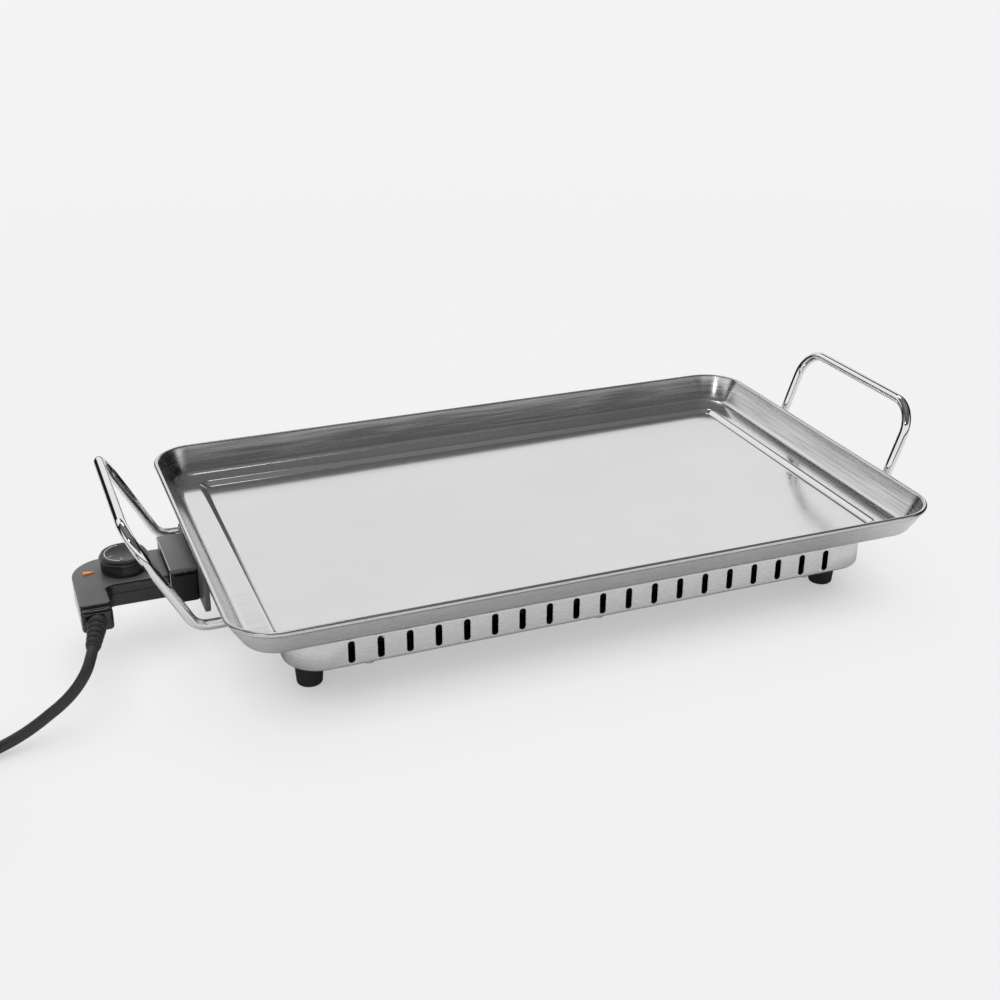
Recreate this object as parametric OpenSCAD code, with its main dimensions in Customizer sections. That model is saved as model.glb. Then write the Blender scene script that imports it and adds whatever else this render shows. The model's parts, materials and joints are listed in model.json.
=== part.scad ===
// Electric griddle with a pressed steel pan, a slotted base frame and a plug-in thermostat.
// Millimetres, +X right along the pan, +Y back, +Z up, standing on z = 0.

/* [Pan] */
// Length of the pan over its rolled rim
rim_l = 500; // [460:1:620]
// Width of the pan over its rolled rim
rim_w = 309; // [270:1:400]
// Height of the rim above the table
rim_z = 73; // [72:0.5:76]
// Height of the cooking surface above the table
floor_z = 50.5; // [50:0.5:52]
// Thickness of the pan sheet
pan_t = 1.2; // [0.8:0.1:1.5]
// Corner radius of the rim
rim_r = 32; // [30:1:44]
// Diameter of the rolled edge
bead_d = 3.4; // [3:0.1:4]
// How far the wall flares out, from its foot to the rim
wall_run = 18; // [16:0.5:19]
// Width of the ledge around the cooking surface
ledge_w = 13; // [10:0.5:16]
// Height of the ledge above the cooking surface
ledge_h = 3; // [2:0.5:4]
// Inner bend radius at the foot of the wall
foot_bend = 7; // [5:0.5:8]
// Slope of the wall
wall_angle = 58; // [54:1:60]

/* [Body shell] */
// Thickness of the shell and of the base frame
shell_t = 1; // [0.8:0.1:1.2]
// Height of the shell's flat underside above the table
shell_z = 45.2; // [44:0.1:45.2]
// Slope of the shell's lower part
shell_angle = 31; // [29:0.5:33]

/* [Base frame] */
// Distance from the rim to the frame's end faces
frame_inset_x = 38.5; // [34:0.5:44]
// Distance from the rim to the frame's long faces
frame_inset_y = 27; // [25:0.5:32]
// Height of the frame's lower edge above the table
frame_z = 24.5; // [20:0.5:26]
// Corner radius of the frame
frame_r = 24; // [18:1:30]
// Width of the turned-in lips
lip_w = 12; // [10:0.5:14]
// Number of slots in each long face
slot_n = 19; // [9:2:19]
// Distance between slots
slot_pitch = 19.2; // [12:0.1:19.5]
// Width of a slot
slot_w = 4.6; // [3:0.1:6]
// Height of a slot
slot_h = 15.5; // [10:0.5:15.5]

/* [Heater] */
// Diameter of the tubular element
element_d = 6.5; // [6:0.5:7]
// Distance from the middle to the outer runs
run_outer = 88; // [80:1:92]
// Distance from the middle to the middle runs
run_mid = 46; // [42:1:50]
// Distance from the middle to the inner runs
run_inner = 16; // [14:1:18]
// Thickness of the aluminium spreader plate
spreader_t = 3; // [2:0.5:3.5]
// Height of the reflector above the table
reflector_z = 30; // [29.5:0.5:32]

/* [Feet] */
// Distance between the feet along the length
foot_x = 386; // [330:1:390]
// Distance between the feet across the width
foot_y = 192; // [150:1:200]
// Diameter of a foot at its top
foot_d = 20; // [16:0.5:24]
// Diameter of a foot at the table
foot_tip_d = 17; // [14:0.5:22]

/* [Handles] */
// Diameter of the handle rod
rod_d = 7; // [6:0.5:8]
// Distance between the two legs of a handle
handle_w = 142; // [130:1:170]
// Height of the legs where they leave the frame
leg_z = 40.5; // [39:0.5:40.5]
// How far beyond the rim the left rod turns upwards
out_left = 8; // [4:0.5:12]
// How far beyond the rim the right rod turns upwards
out_right = 2; // [1:0.5:10]
// Length of the rising part
handle_rise = 79; // [60:1:90]
// Lean of the left handle from upright
lean_left = 28; // [18:1:32]
// Lean of the right handle from upright
lean_right = 19.5; // [18:0.5:32]
// Bend radius at the top corners
corner_r = 22; // [16:1:28]
// Bend radius where the rod turns upwards
turn_r = 13; // [10:1:16]

/* [Thermostat] */
// Width of the connector's neck
neck_w = 42; // [40:0.5:46]
// Height of the connector's underside
conn_z0 = 37.5; // [37:0.5:38]
// Height of the connector's top
conn_z1 = 54; // [53.5:0.5:55]
// How far the connector reaches out from the rim
conn_reach = 75.5; // [74:0.5:80]
// Outer radius of the connector's elbow
elbow_r = 24; // [24:0.5:26]
// Width of the connector's cord arm
arm_w = 19; // [19:0.5:22]
// How far the cord arm reaches forward from the middle
arm_y = 51; // [48:0.5:56]
// Wall of the connector's housing
housing_t = 2; // [1.6:0.1:2.2]
// Diameter of the dial
dial_d = 32; // [28:0.5:34]
// Height of the dial
dial_h = 11.6; // [10:0.2:14]
// Distance from the rim out to the dial's axis
dial_out = 41; // [40:0.5:42]
// Turn of the dial, in degrees
dial_turn = 270; // [180:10:300]
// Distance between the two power pins
pin_pitch = 22; // [20:0.5:23]
// Diameter of a power pin
pin_d = 4.8; // [4:0.1:5]
// Diameter of the temperature probe
probe_d = 6; // [5:0.5:6]

/* [Socket] */
// Width of the socket shroud
shroud_w = 54; // [52:1:58]
// How far the shroud stands out from the rim
shroud_out = 15.5; // [14:0.5:18]
// Height of the shroud's top
shroud_z1 = 60.5; // [59:0.5:61.5]
// Height of the shroud's underside
shroud_z0 = 34.5; // [33.5:0.5:35]
// Width of the plate behind the shroud
plate_w = 94; // [88:1:100]

/* [Cord] */
// Diameter of the power cord
cord_d = 7; // [6.5:0.1:7.5]
// Outer radius of the coil's centre line
coil_r1 = 46; // [44:1:50]
// Inner radius of the coil's centre line
coil_r0 = 29; // [28:1:30]

/* [Hidden] */
$fn = 64;
fit = 0.3;      // clearance between pieces that move on each other
snug = 0.05;    // clearance between pieces that are fixed together
steel = [0.78, 0.79, 0.8];
chrome = [0.9, 0.9, 0.92];
black = [0.13, 0.13, 0.14];
grey = [0.27, 0.27, 0.28];
brass = [0.8, 0.65, 0.3];
ceramic = [0.92, 0.9, 0.85];
zinc = [0.7, 0.72, 0.75];

// the whole stands with the middle of its outline on the origin
right_reach = out_right + handle_rise * sin(lean_right) + rod_d / 2;
pan_x = (conn_reach - right_reach) / 2;
hx = rim_l / 2;
hy = rim_w / 2;
ledge_z = floor_z + ledge_h;
step_run = 4.5;
foot_u = rim_r - wall_run;               // corner radius at the foot of the wall
floor_in = wall_run + ledge_w;           // from the rim to the step
step_r = 9;
bead_r = bead_d / 2;
bead_z = rim_z - bead_r;
under_z = floor_z - pan_t;               // underside of the cooking surface
fx = hx - frame_inset_x;
fy = hy - frame_inset_y;
cover_t = 1;
cover_z = frame_z - cover_t;
cover_gap = 3;
element_z = under_z - spreader_t - element_d / 2;
element_r = element_d / 2;
clamp_t = 1.5;
clamp_z = element_z - element_r - clamp_t;
clamp_w = 16;
clamp_xs = [-80, 20, 120];
stud_ys = [-67, -31, 31, 67];
stud_d = 4;
nut_h = 3.2;
nut_af = 7;
refl_t = 0.6;
refl_x = fx - 21.5;
refl_y = fy - 14;
refl_r = 12;
refl_lip = 7;
opening_r = 10;
slot_z = frame_z + 2.6 + slot_h / 2;
slot_r = 1.4;
top_lip_z = shell_z - shell_t;
screw_d = 4;
screw_inset = 6;                         // frame screws sit this far in from the frame's face
frame_screw_xs = [-150, -50, 50, 150];
leg_inner = fx - 14;
nose_x0 = hx - 7;                        // tip of the connector's nose
nose_x1 = hx + shroud_out;               // shoulder of the nose
nose_w = neck_w - 4;
nose_gap = 0.5;
nose_z0 = conn_z0 + 1;
nose_z1 = conn_z1 - 1;
plate_x = hx - 2.5;
plate_t = 3.5;
plate_z1 = shroud_z1 - 0.5;
block_w = 50;
pin_root = fx - 5.5;                     // where the element's ends meet the pins
block_x0 = fx + snug;
block_z0 = shroud_z0 + 1.5;
block_z1 = under_z - 0.8;
ear_w = 78;
ear_t = 3;
ear_z0 = frame_z + 3;
ear_z1 = shell_z - 2;
ear_mid = (ear_z0 + ear_z1) / 2;
mount_screw_y = 33;
pin_y = pin_pitch / 2;
pin_tip = hx + 14;
guide_d = probe_d + 2.6;
probe_tip = hx - 62;
dial_x = hx + dial_out;
dial_z = conn_z1 + 0.4;
split_z = 47.2;
elbow_x = hx + conn_reach - elbow_r;
elbow_y = neck_w / 2 - elbow_r;
arm_x1 = hx + conn_reach;
arm_x0 = arm_x1 - arm_w;
arm_mid = (arm_x0 + arm_x1) / 2;
inner_z0 = conn_z0 + housing_t;
inner_z1 = conn_z1 - housing_t;
boss_d = 6;
boss_at = [[hx + 19.5, 16.5], [hx + 19.5, -16.5], [hx + 50.5, -16.9]];
stack_x = dial_x + 8;
strip_w = 7;
relief_l = 25;
relief_base = 12.4;
relief_off = 2.2;                        // stands off the arm's face so that it can lean
relief_z = 46;
relief_turn = 16;
relief_drop = 10;
// the cord's way from the strain relief to its coil, then from the coil to the plug, all
// from the arm's end
cord_pts = [[-6.7, -25.9, 41.65], [-9.3, -34, 39.9], [-12.5, -40.4, 36.4], [-17, -44.6, 31.7],
    [-22.5, -47.4, 26.7], [-29.5, -49.4, 21.5], [-38, -51, 16.5], [-46.5, -53, 12.2],
    [-56, -55.5, 8.6], [-68, -59, 5.9], [-82, -63.5, 4.6], [-98, -68, 4.5],
    [-114, -71.5, 4.5], [-128, -73, 4.5], [-138, -73, 4.5]];
tail_pts = [[-188, -125, 11.5], [-188, -133, 12], [-188, -141, 13.4], [-188, -149, 15.4],
    [-188, -157, 17], [-188, -165, 18]];
coil_at = [-142, -119];
coil_z0 = 1;
coil_h = 2 * cord_d;
tie_t = 0.9;
tie_w = 8;
plug_r = 18;
plug_pin_pitch = 19;
plug_pin_d = 4.8;
plug_pin_l = 19;
plug_shank_d = 3.6;                      // the pin inside the plug is thinner
plug_body_l = 34;
plug_relief_l = 26;

// ---- helpers ----
function arc(c, r, a0, a1, n = 8) = [for (i = [0:n]) let (a = a0 + (a1 - a0) * i / n)
    c + r * [cos(a), sin(a)]];
function flip(p) = [for (i = [len(p) - 1:-1:0]) p[i]];
function unit(v) = v / norm(v);

module at_pan() translate([pan_x, 0, 0]) children();
module at_arm() at_pan() translate([-arm_mid, -arm_y, 0]) children();
module both_y() { children(); mirror([0, 1, 0]) children(); }
module both_x() { children(); mirror([1, 0, 0]) children(); }

// a flat rounded rectangle, half sizes a and b
module rounded(a, b, r) {
    square([2 * a, 2 * (b - r)], center = true);
    square([2 * (a - r), 2 * b], center = true);
    for (x = [-1, 1], y = [-1, 1]) translate([x * (a - r), y * (b - r)]) circle(r);
}
module slab(a, b, r, z, t) translate([0, 0, z]) linear_extrude(t) rounded(a, b, r);

// a 2D profile carried round a rounded rectangle; its x starts at the corner centres
module carried(a, b, r) {
    cx = a - r;
    cy = b - r;
    at = [[cx, cy], [-cx, cy], [-cx, -cy], [cx, -cy]];
    for (k = [0:3]) translate([at[k].x, at[k].y, 0]) rotate([0, 0, 90 * k]) {
        rotate_extrude(angle = 90) children();
        rotate([90, 0, 0]) linear_extrude(k % 2 == 0 ? 2 * cy : 2 * cx) children();
    }
}
// a hexagon nut and a pan-head screw standing on z = 0, the screw's shank going down
module nut(af, h, bore) difference() { cylinder(d = af / cos(30), h = h, $fn = 6); translate([0, 0,
    -1]) cylinder(d = bore, h = h + 2); }
module screw(d, l, head_d, head_h) {
    translate([0, 0, -l]) cylinder(d = d, h = l + 0.01);
    difference() {
        cylinder(d = head_d, h = head_h);
        for (a = [0, 90]) rotate([0, 0, a]) translate([-head_d * 0.3, -0.4, head_h * 0.45])
            cube([head_d * 0.6, 0.8, head_h]);
    }
}
// a tube swept along points as one closed polyhedron, its rings carried on without twist
function tangent(p, i) = unit(p[min(i + 1, len(p) - 1)] - p[max(i - 1, 0)]);
function rings(p, i = 0, s = undef) = i == len(p) ? [] : let (t = tangent(p, i),
    s0 = is_undef(s) ? cross(t, [0, 0, 1]) : s, s1 = unit(s0 - (s0 * t) * t))
    concat([[s1, cross(s1, t)]], rings(p, i + 1, s1));
module swept(p, d, sides = 10) {
    n = len(p);
    f = rings(p);
    pts = [for (i = [0:n - 1], k = [0:sides - 1])
        p[i] + d / 2 * (cos(360 * k / sides) * f[i][0] + sin(360 * k / sides) * f[i][1])];
    walls = [for (i = [0:n - 2], k = [0:sides - 1]) let (a = i * sides + k, b = i * sides + (k + 1) % sides)
        [a, b, b + sides, a + sides]];
    ends = [[for (k = [sides - 1:-1:0]) k], [for (k = [0:sides - 1]) (n - 1) * sides + k]];
    polyhedron(pts, concat(walls, ends));
}

// ---- pan, shell and frame ----
module pan_wall() {
    c = [foot_u, ledge_z + foot_bend];
    e = c + foot_bend * [cos(wall_angle - 90), sin(wall_angle - 90)];
    rise = (bead_z + bead_r * 0.5 - e.y) / sin(wall_angle);
    top = e + rise * [cos(wall_angle), sin(wall_angle)];
    out = pan_t * [cos(wall_angle - 90), sin(wall_angle - 90)];
    polygon(concat(arc(c, foot_bend, -90, wall_angle - 90), [top, top + out],
        flip(arc(c, foot_bend + pan_t, -90, wall_angle - 90))));
    translate([rim_r - bead_r, bead_z]) circle(bead_r);
}
module pan_step() {
    r0 = step_r;
    r1 = step_r - step_run;
    polygon([[r0, ledge_z], [r0, ledge_z - pan_t], [r1, under_z], [r1, floor_z]]);
}
module griddle_pan() color(steel) at_pan() {
    carried(hx, hy, rim_r) pan_wall();
    difference() {
        slab(hx - wall_run, hy - wall_run, foot_u, ledge_z - pan_t, pan_t);
        slab(hx - floor_in, hy - floor_in, step_r, ledge_z - 5, 10);
    }
    carried(hx - floor_in, hy - floor_in, step_r) pan_step();
    slab(hx - floor_in - step_run, hy - floor_in - step_run, step_r - step_run, under_z, pan_t);
}
// the shell follows the pan's wall at a small gap, then slopes down to the frame
shell_gap = 0.3;
shell_ri = foot_bend + pan_t + shell_gap;
shell_ro = shell_ri + shell_t;
bend_c = [foot_u, ledge_z + foot_bend];
slope_at = bend_c + shell_ro * [sin(shell_angle), -cos(shell_angle)];
shell_u = slope_at.x - (slope_at.y - shell_z) / tan(shell_angle);
shell_in = rim_r - shell_u;
module shell_wall() {
    wall = [sin(wall_angle), -cos(wall_angle)];
    along = [cos(wall_angle), sin(wall_angle)];
    rise = (bead_z - bead_r - 2 * snug - bend_c.y - shell_ro * wall.y) / along.y;
    top = bend_c + shell_ro * wall + rise * along;
    inner = bend_c + shell_ri * [sin(shell_angle), -cos(shell_angle)];
    inner_u = inner.x - (inner.y - shell_z - shell_t) / tan(shell_angle);
    polygon(concat([[shell_u, shell_z]], arc(bend_c, shell_ro, shell_angle - 90, wall_angle - 90),
        [top, top - [shell_t / wall.x, 0]], flip(arc(bend_c, shell_ri, shell_angle - 90, wall_angle - 90)),
        [[inner_u, shell_z + shell_t]]));
}
notch_z1 = shroud_z1 - 3.5;              // top of the opening for the socket's block
module body_shell() color(steel) at_pan() difference() {
    union() {
        carried(hx, hy, rim_r) shell_wall();
        slab(hx - shell_in, hy - shell_in, shell_u, shell_z, shell_t);
    }
    slab(refl_x - 1, refl_y - 1, opening_r, shell_z - 1, 4);
    translate([-hx - 1, -block_w / 2 - 1, shell_z - 1]) cube([hx - refl_x + 4, block_w + 2,
        notch_z1 - shell_z + 1]);
    frame_screw_holes(shell_z - 1, 4);
}
module frame_screw_holes(z, h) for (y = [-1, 1], x = frame_screw_xs)
    translate([x, y * (fy - screw_inset), z]) cylinder(d = screw_d + 0.4, h = h);
module slot_2d() {
    square([slot_w, slot_h - 2 * slot_r], center = true);
    square([slot_w - 2 * slot_r, slot_h], center = true);
    for (x = [-1, 1], y = [-1, 1]) translate([x * (slot_w / 2 - slot_r), y * (slot_h / 2 - slot_r)])
        circle(slot_r, $fn = 24);
}
module base_frame() color(steel) at_pan() difference() {
    slab(fx, fy, frame_r, frame_z, shell_z - frame_z);
    slab(fx - shell_t, fy - shell_t, frame_r - shell_t, frame_z + shell_t, top_lip_z - frame_z - shell_t);
    slab(fx - lip_w, fy - lip_w, frame_r - lip_w, frame_z - 1, shell_z);
    for (s = [-1, 1], i = [0:slot_n - 1])
        translate([(i - (slot_n - 1) / 2) * slot_pitch, s * fy + 4, slot_z]) rotate([90, 0, 0])
            linear_extrude(8) slot_2d();
    frame_screw_holes(top_lip_z - 1, 3);
    both_y() cover_holes(frame_z - 1, 3);
    for (x = [-1, 1], y = [-1, 1]) {
        translate([x * fx - 4, y * handle_w / 2, leg_z]) rotate([0, 90, 0])
            cylinder(d = rod_d + 0.4, h = 8);
        // room for the handle's inner nut in the top lip
        translate([x * (fx - 7) - 6, y * handle_w / 2 - 6, top_lip_z - 1]) cube([12, 12, 4]);
    }
    // the heater's ends and the probe's guide come through the left end, open at the top
    translate([-fx - 1, -tail_room, element_z - 5.5]) cube([lip_w + 2, 2 * tail_room, 20]);
    both_y() translate([-fx - 4, mount_screw_y, ear_mid]) rotate([0, 90, 0]) cylinder(d = 3.4, h = 8);
}
tail_room = 21;
cover_screw_xs = [-160, 0, 160];
module cover_holes(z, h) for (x = cover_screw_xs) translate([x, fy - screw_inset, z])
    cylinder(d = 3.4, h = h);
module frame_screws() color(zinc) at_pan() for (y = [-1, 1], x = frame_screw_xs)
    translate([x, y * (fy - screw_inset), shell_z + shell_t]) screw(screw_d, 8, 7, 1.4);
module frame_nuts() color(zinc) at_pan() for (y = [-1, 1], x = frame_screw_xs)
    translate([x, y * (fy - screw_inset), top_lip_z - nut_h]) nut(nut_af, nut_h, screw_d + 2 * snug);

// ---- heater ----
module spreader_plate() color([0.8, 0.8, 0.82]) at_pan() {
    difference() {
        slab(hx - floor_in - 8, hy - floor_in - 8, step_r, under_z - spreader_t, spreader_t);
        translate([-hx, 0, element_z]) rotate([0, 90, 0]) cylinder(d = guide_d + 2 * snug,
            h = hx - probe_tip + 8 + snug);
    }
    for (x = clamp_xs, y = stud_ys) translate([x, y, clamp_z - nut_h - 2])
        cylinder(d = stud_d, h = under_z - spreader_t - clamp_z + nut_h + 2.5);
}
module rod_run(x0, x1, y) translate([x0, y, element_z]) rotate([0, 90, 0])
    cylinder(r = element_r, h = x1 - x0);
module rod_bend(x, y, r, a0, sweep) translate([x, y, element_z]) rotate([0, 0, a0])
    rotate_extrude(angle = sweep) translate([r, 0]) circle(element_r);
lead_x = fx - 40;
lead_r = 18;
end_right = fx - 62;
end_left = fx - 100;
module element_half() {
    mid_r = (run_outer - run_mid) / 2;
    in_r = (run_mid - run_inner) / 2;
    rod_run(-pin_root, -lead_x, pin_y);
    rod_bend(-lead_x, pin_y + lead_r, lead_r, -90, 90);
    translate([-lead_x + lead_r, pin_y + lead_r, element_z]) rotate([-90, 0, 0])
        cylinder(r = element_r, h = run_outer - pin_y - 2 * lead_r);
    rod_bend(-lead_x + 2 * lead_r, run_outer - lead_r, lead_r, 90, 90);
    rod_run(-lead_x + 2 * lead_r, end_right, run_outer);
    rod_bend(end_right, run_mid + mid_r, mid_r, -90, 180);
    rod_run(-end_left, end_right, run_mid);
    rod_bend(-end_left, run_inner + in_r, in_r, 90, 180);
    rod_run(-end_left, end_right, run_inner);
    rod_bend(end_right, 0, run_inner, 0, 90);
}
module heating_element() color([0.45, 0.43, 0.42]) at_pan() both_y() element_half();
module element_clamps() color(zinc) at_pan() for (x = clamp_xs) difference() {
    translate([x - clamp_w / 2, -run_outer - 8, clamp_z]) cube([clamp_w, 2 * run_outer + 16, clamp_t]);
    for (y = stud_ys) translate([x, y, clamp_z - 1]) cylinder(d = stud_d + 0.4, h = 5);
}
module clamp_nuts() color(zinc) at_pan() for (x = clamp_xs, y = stud_ys)
    translate([x, y, clamp_z - nut_h]) nut(nut_af, nut_h, stud_d + 2 * snug);
module heat_reflector() color([0.85, 0.85, 0.87]) at_pan() difference() {
    union() {
        slab(refl_x, refl_y, refl_r, reflector_z, shell_z - reflector_z - snug);
        slab(refl_x + refl_lip - 2, refl_y + refl_lip - 2, refl_r + refl_lip - 2,
            shell_z - refl_t - snug, refl_t);
    }
    slab(refl_x - refl_t, refl_y - refl_t, refl_r - refl_t, reflector_z + refl_t, 20);
    translate([-fx, -pin_y - 7, element_z - 6]) cube([fx - refl_x + 4, 2 * pin_y + 14, 12]);
    // the lip steps back from the frame's own top lip
    difference() {
        slab(fx, fy, frame_r, top_lip_z - 0.5, 2);
        slab(fx - lip_w - 0.5, fy - lip_w - 0.5, frame_r - lip_w - 0.5, top_lip_z - 1, 4);
    }
}
module bottom_cover() color(zinc) at_pan() difference() {
    slab(fx - cover_gap, fy - cover_gap, frame_r - cover_gap, cover_z, cover_t);
    for (x = [-5:5], y = [-1, 1]) translate([x * 28, y * 45, cover_z - 1]) linear_extrude(4) {
        square([4, 40], center = true);
        for (e = [-1, 1]) translate([0, e * 20]) circle(2, $fn = 24);
    }
    both_y() cover_holes(cover_z - 1, 4);
    for (x = [-1, 1], y = [-1, 1]) translate([x * foot_x / 2, y * foot_y / 2, cover_z - 1])
        cylinder(d = screw_d + 0.4, h = 4);
}
module cover_screws() color(zinc) at_pan() both_y() for (x = cover_screw_xs)
    translate([x, fy - screw_inset, cover_z]) rotate([180, 0, 0]) screw(3.2, 6, 6, 1.4);

// ---- feet ----
module foot(sx, sy) color(black) at_pan() translate([sx * foot_x / 2, sy * foot_y / 2, 0]) difference() {
    rotate_extrude() polygon(concat([[0, 0]], arc([foot_tip_d / 2 - 1.5, 1.5], 1.5, -90, 0, 5),
        [[foot_d / 2, cover_z - 3], [foot_d / 2, cover_z], [0, cover_z]]));
    translate([0, 0, -1]) cylinder(d = 9, h = 6.5);
    cylinder(d = screw_d + 0.4, h = 40);
}
module foot_front_left() foot(-1, -1);
module foot_front_right() foot(1, -1);
module foot_back_left() foot(-1, 1);
module foot_back_right() foot(1, 1);
module foot_screws() color(zinc) at_pan() for (x = [-1, 1], y = [-1, 1])
    translate([x * foot_x / 2, y * foot_y / 2, 5.5])
    rotate([180, 0, 0]) screw(screw_d, frame_z - 5.5 + nut_h + 1, 8, 2.4);
module foot_nuts() color(zinc) at_pan() for (x = [-1, 1], y = [-1, 1])
    translate([x * foot_x / 2, y * foot_y / 2, frame_z])
    nut(nut_af, nut_h, screw_d + 2 * snug);

// ---- handles ----
// a handle's way from inside the frame, up, across and back, for the right end
function handle_path(lean, out) = let (
    rise = [sin(lean), 0, cos(lean)],
    foot = [hx + out, handle_w / 2, leg_z],
    low = bend_points([1, 0, 0], rise, foot, turn_r, 6),
    high = bend_points(rise, [0, -1, 0], foot + handle_rise * rise, corner_r, 8),
    half = concat([[leg_inner, handle_w / 2, leg_z]], low, high))
    concat(half, [for (p = flip(half)) [p.x, -p.y, p.z]]);
// points of a bend at the corner p between two directions
function bend_points(u, v, p, r, n) = let (a = acos(u * v), m = unit(v - u), c = p + m * r / cos(a / 2))
    [for (i = [0:n]) let (t = -a / 2 + a * i / n) c - r * (cos(t) * m - sin(t) * unit(u + v))];
module handle_left() color(chrome) at_pan() mirror([1, 0, 0])
    swept(handle_path(lean_left, out_left), rod_d, 20);
module handle_right() color(chrome) at_pan() swept(handle_path(lean_right, out_right), rod_d, 20);
module handle_nuts() color(zinc) at_pan() both_x() both_y() for (x = [fx, fx - shell_t - 4])
    translate([x, handle_w / 2, leg_z]) rotate([0, 90, 0]) rotate([0, 0, 30])
        nut(handle_nut_af, 4, rod_d + 2 * snug);
handle_nut_af = 9;

// ---- socket ----
module socket_mount() color(grey) at_pan() mirror([1, 0, 0]) difference() {
    union() {
        // plate under the rim
        translate([plate_x - plate_t, -plate_w / 2, shroud_z0])
            cube([plate_t, plate_w, plate_z1 - shroud_z0]);
        translate([block_x0, -block_w / 2, block_z0]) cube([plate_x - block_x0 - 1, block_w,
            block_z1 - block_z0]);
        translate([fx + snug, -ear_w / 2, ear_z0]) cube([ear_t, ear_w, ear_z1 - ear_z0]);
    }
    // recess for the connector's nose
    translate([nose_x0 - 1.5, -nose_w / 2 - nose_gap, nose_z0 - nose_gap])
        cube([20, nose_w + 2 * nose_gap, nose_z1 - nose_z0 + 2 * nose_gap]);
    for (y = [-1, 1]) translate([0, y * pin_y, element_z]) rotate([0, 90, 0])
        cylinder(d = pin_d + 2 * snug, h = hx);
    translate([0, 0, element_z]) rotate([0, 90, 0]) cylinder(d = guide_d + 2 * snug, h = hx);
    translate([0, tab_y - tab_t / 2 - snug, element_z - tab_w / 2 - snug])
        cube([hx, tab_t + 2 * snug, tab_w + 2 * snug]);
    both_y() translate([fx - 1, mount_screw_y, ear_mid]) rotate([0, 90, 0]) cylinder(d = 2.9, h = 12);
    both_y() translate([plate_x - 8, shroud_screw_y, shroud_screw_z]) rotate([0, 90, 0])
        cylinder(d = 2.9, h = 12);
}
tab_y = 17;
tab_t = 1;
tab_w = 6;
shroud_screw_y = 22.6;
shroud_screw_z = 57.5;
module mount_screws() color(zinc) at_pan() mirror([1, 0, 0]) both_y()
    translate([fx - shell_t, mount_screw_y, ear_mid]) rotate([0, -90, 0])
        screw(2.8, ear_t + shell_t, 5.6, 1.2);
module socket_shroud() color(black) at_pan() mirror([1, 0, 0]) difference() {
    union() {
        translate([plate_x + snug, -shroud_w / 2 + 1.5, shroud_z0])
            cube([nose_x1 - 1 - plate_x - snug, shroud_w - 3, shroud_z1 - shroud_z0 - 1]);
        translate([plate_x + snug, -shroud_w / 2, shroud_z1 - 3])
            cube([nose_x1 - plate_x - snug, shroud_w, 3]);
    }
    // shadow gap under the lid at the front
    translate([plate_x + 1.5, -shroud_w / 2 - 1, shroud_z1 - 6]) cube([nose_x1 - plate_x - 4.5, 4, 3]);
    translate([plate_x - 1, -nose_w / 2 - nose_gap, nose_z0 - nose_gap])
        cube([40, nose_w + 2 * nose_gap, nose_z1 - nose_z0 + 2 * nose_gap]);
    both_y() translate([plate_x - 1, shroud_screw_y, shroud_screw_z]) rotate([0, 90, 0])
        cylinder(d = 3.2, h = 30);
    both_y() translate([plate_x + 7, shroud_screw_y, shroud_screw_z]) rotate([0, 90, 0])
        cylinder(d = 5, h = 30);
}
module shroud_screws() color(zinc) at_pan() mirror([1, 0, 0]) both_y()
    translate([plate_x + 7, shroud_screw_y, shroud_screw_z]) rotate([0, 90, 0]) screw(2.7, 10, 4.8, 1.6);
module power_pins() color(brass) at_pan() mirror([1, 0, 0]) both_y()
    translate([pin_root, pin_y, element_z]) rotate([0, 90, 0]) {
    cylinder(d = pin_d, h = pin_tip - pin_root - pin_d / 2);
    translate([0, 0, pin_tip - pin_root - pin_d / 2]) sphere(d = pin_d);
}
module probe_guide() color(zinc) at_pan() mirror([1, 0, 0]) translate([probe_tip - 8, 0, element_z])
    rotate([0, 90, 0]) difference() {
    cylinder(d = guide_d, h = nose_x0 - 1.5 - probe_tip + 8);
    translate([0, 0, 3]) cylinder(d = probe_d + 2 * fit, h = 100);
}
module earth_tab() color(brass) at_pan() mirror([1, 0, 0])
    translate([fx - 4, tab_y - tab_t / 2, element_z - tab_w / 2])
        cube([pin_tip - 2 - fx + 4, tab_t, tab_w]);

// ---- thermostat connector ----
module connector_2d(d) {
    translate([elbow_x, elbow_y]) circle(elbow_r - d);
    translate([nose_x1 + fit + d, -neck_w / 2 + d]) square([elbow_x - nose_x1 - fit - d, neck_w - 2 * d]);
    translate([arm_x0 + d, -arm_y + d]) square([arm_w - 2 * d, arm_y + elbow_y - d]);
}
module relief_hole(d) translate([arm_mid, -arm_y, relief_z]) rotate([90, 0, 0]) translate([0, 0, -4])
    cylinder(d = d, h = 8);
module lower_housing() color(black) at_pan() mirror([1, 0, 0]) difference() {
    union() {
        difference() {
            translate([0, 0, conn_z0]) linear_extrude(split_z - conn_z0) connector_2d(0);
            translate([0, 0, inner_z0]) linear_extrude(20) connector_2d(housing_t);
        }
        translate([nose_x0, -nose_w / 2, nose_z0]) cube([nose_x1 + fit + 1 - nose_x0, nose_w,
            split_z - nose_z0]);
        for (b = boss_at) translate([b.x, b.y, conn_z0 + 1])
            cylinder(d = boss_d, h = split_z - conn_z0 - 1);
    }
    nose_bores();
    relief_hole(10);
    for (b = boss_at) translate([b.x, b.y, conn_z0 - 1]) {
        cylinder(d = 3.2, h = 20);
        cylinder(d = 5.2, h = 4);
    }
}
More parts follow.
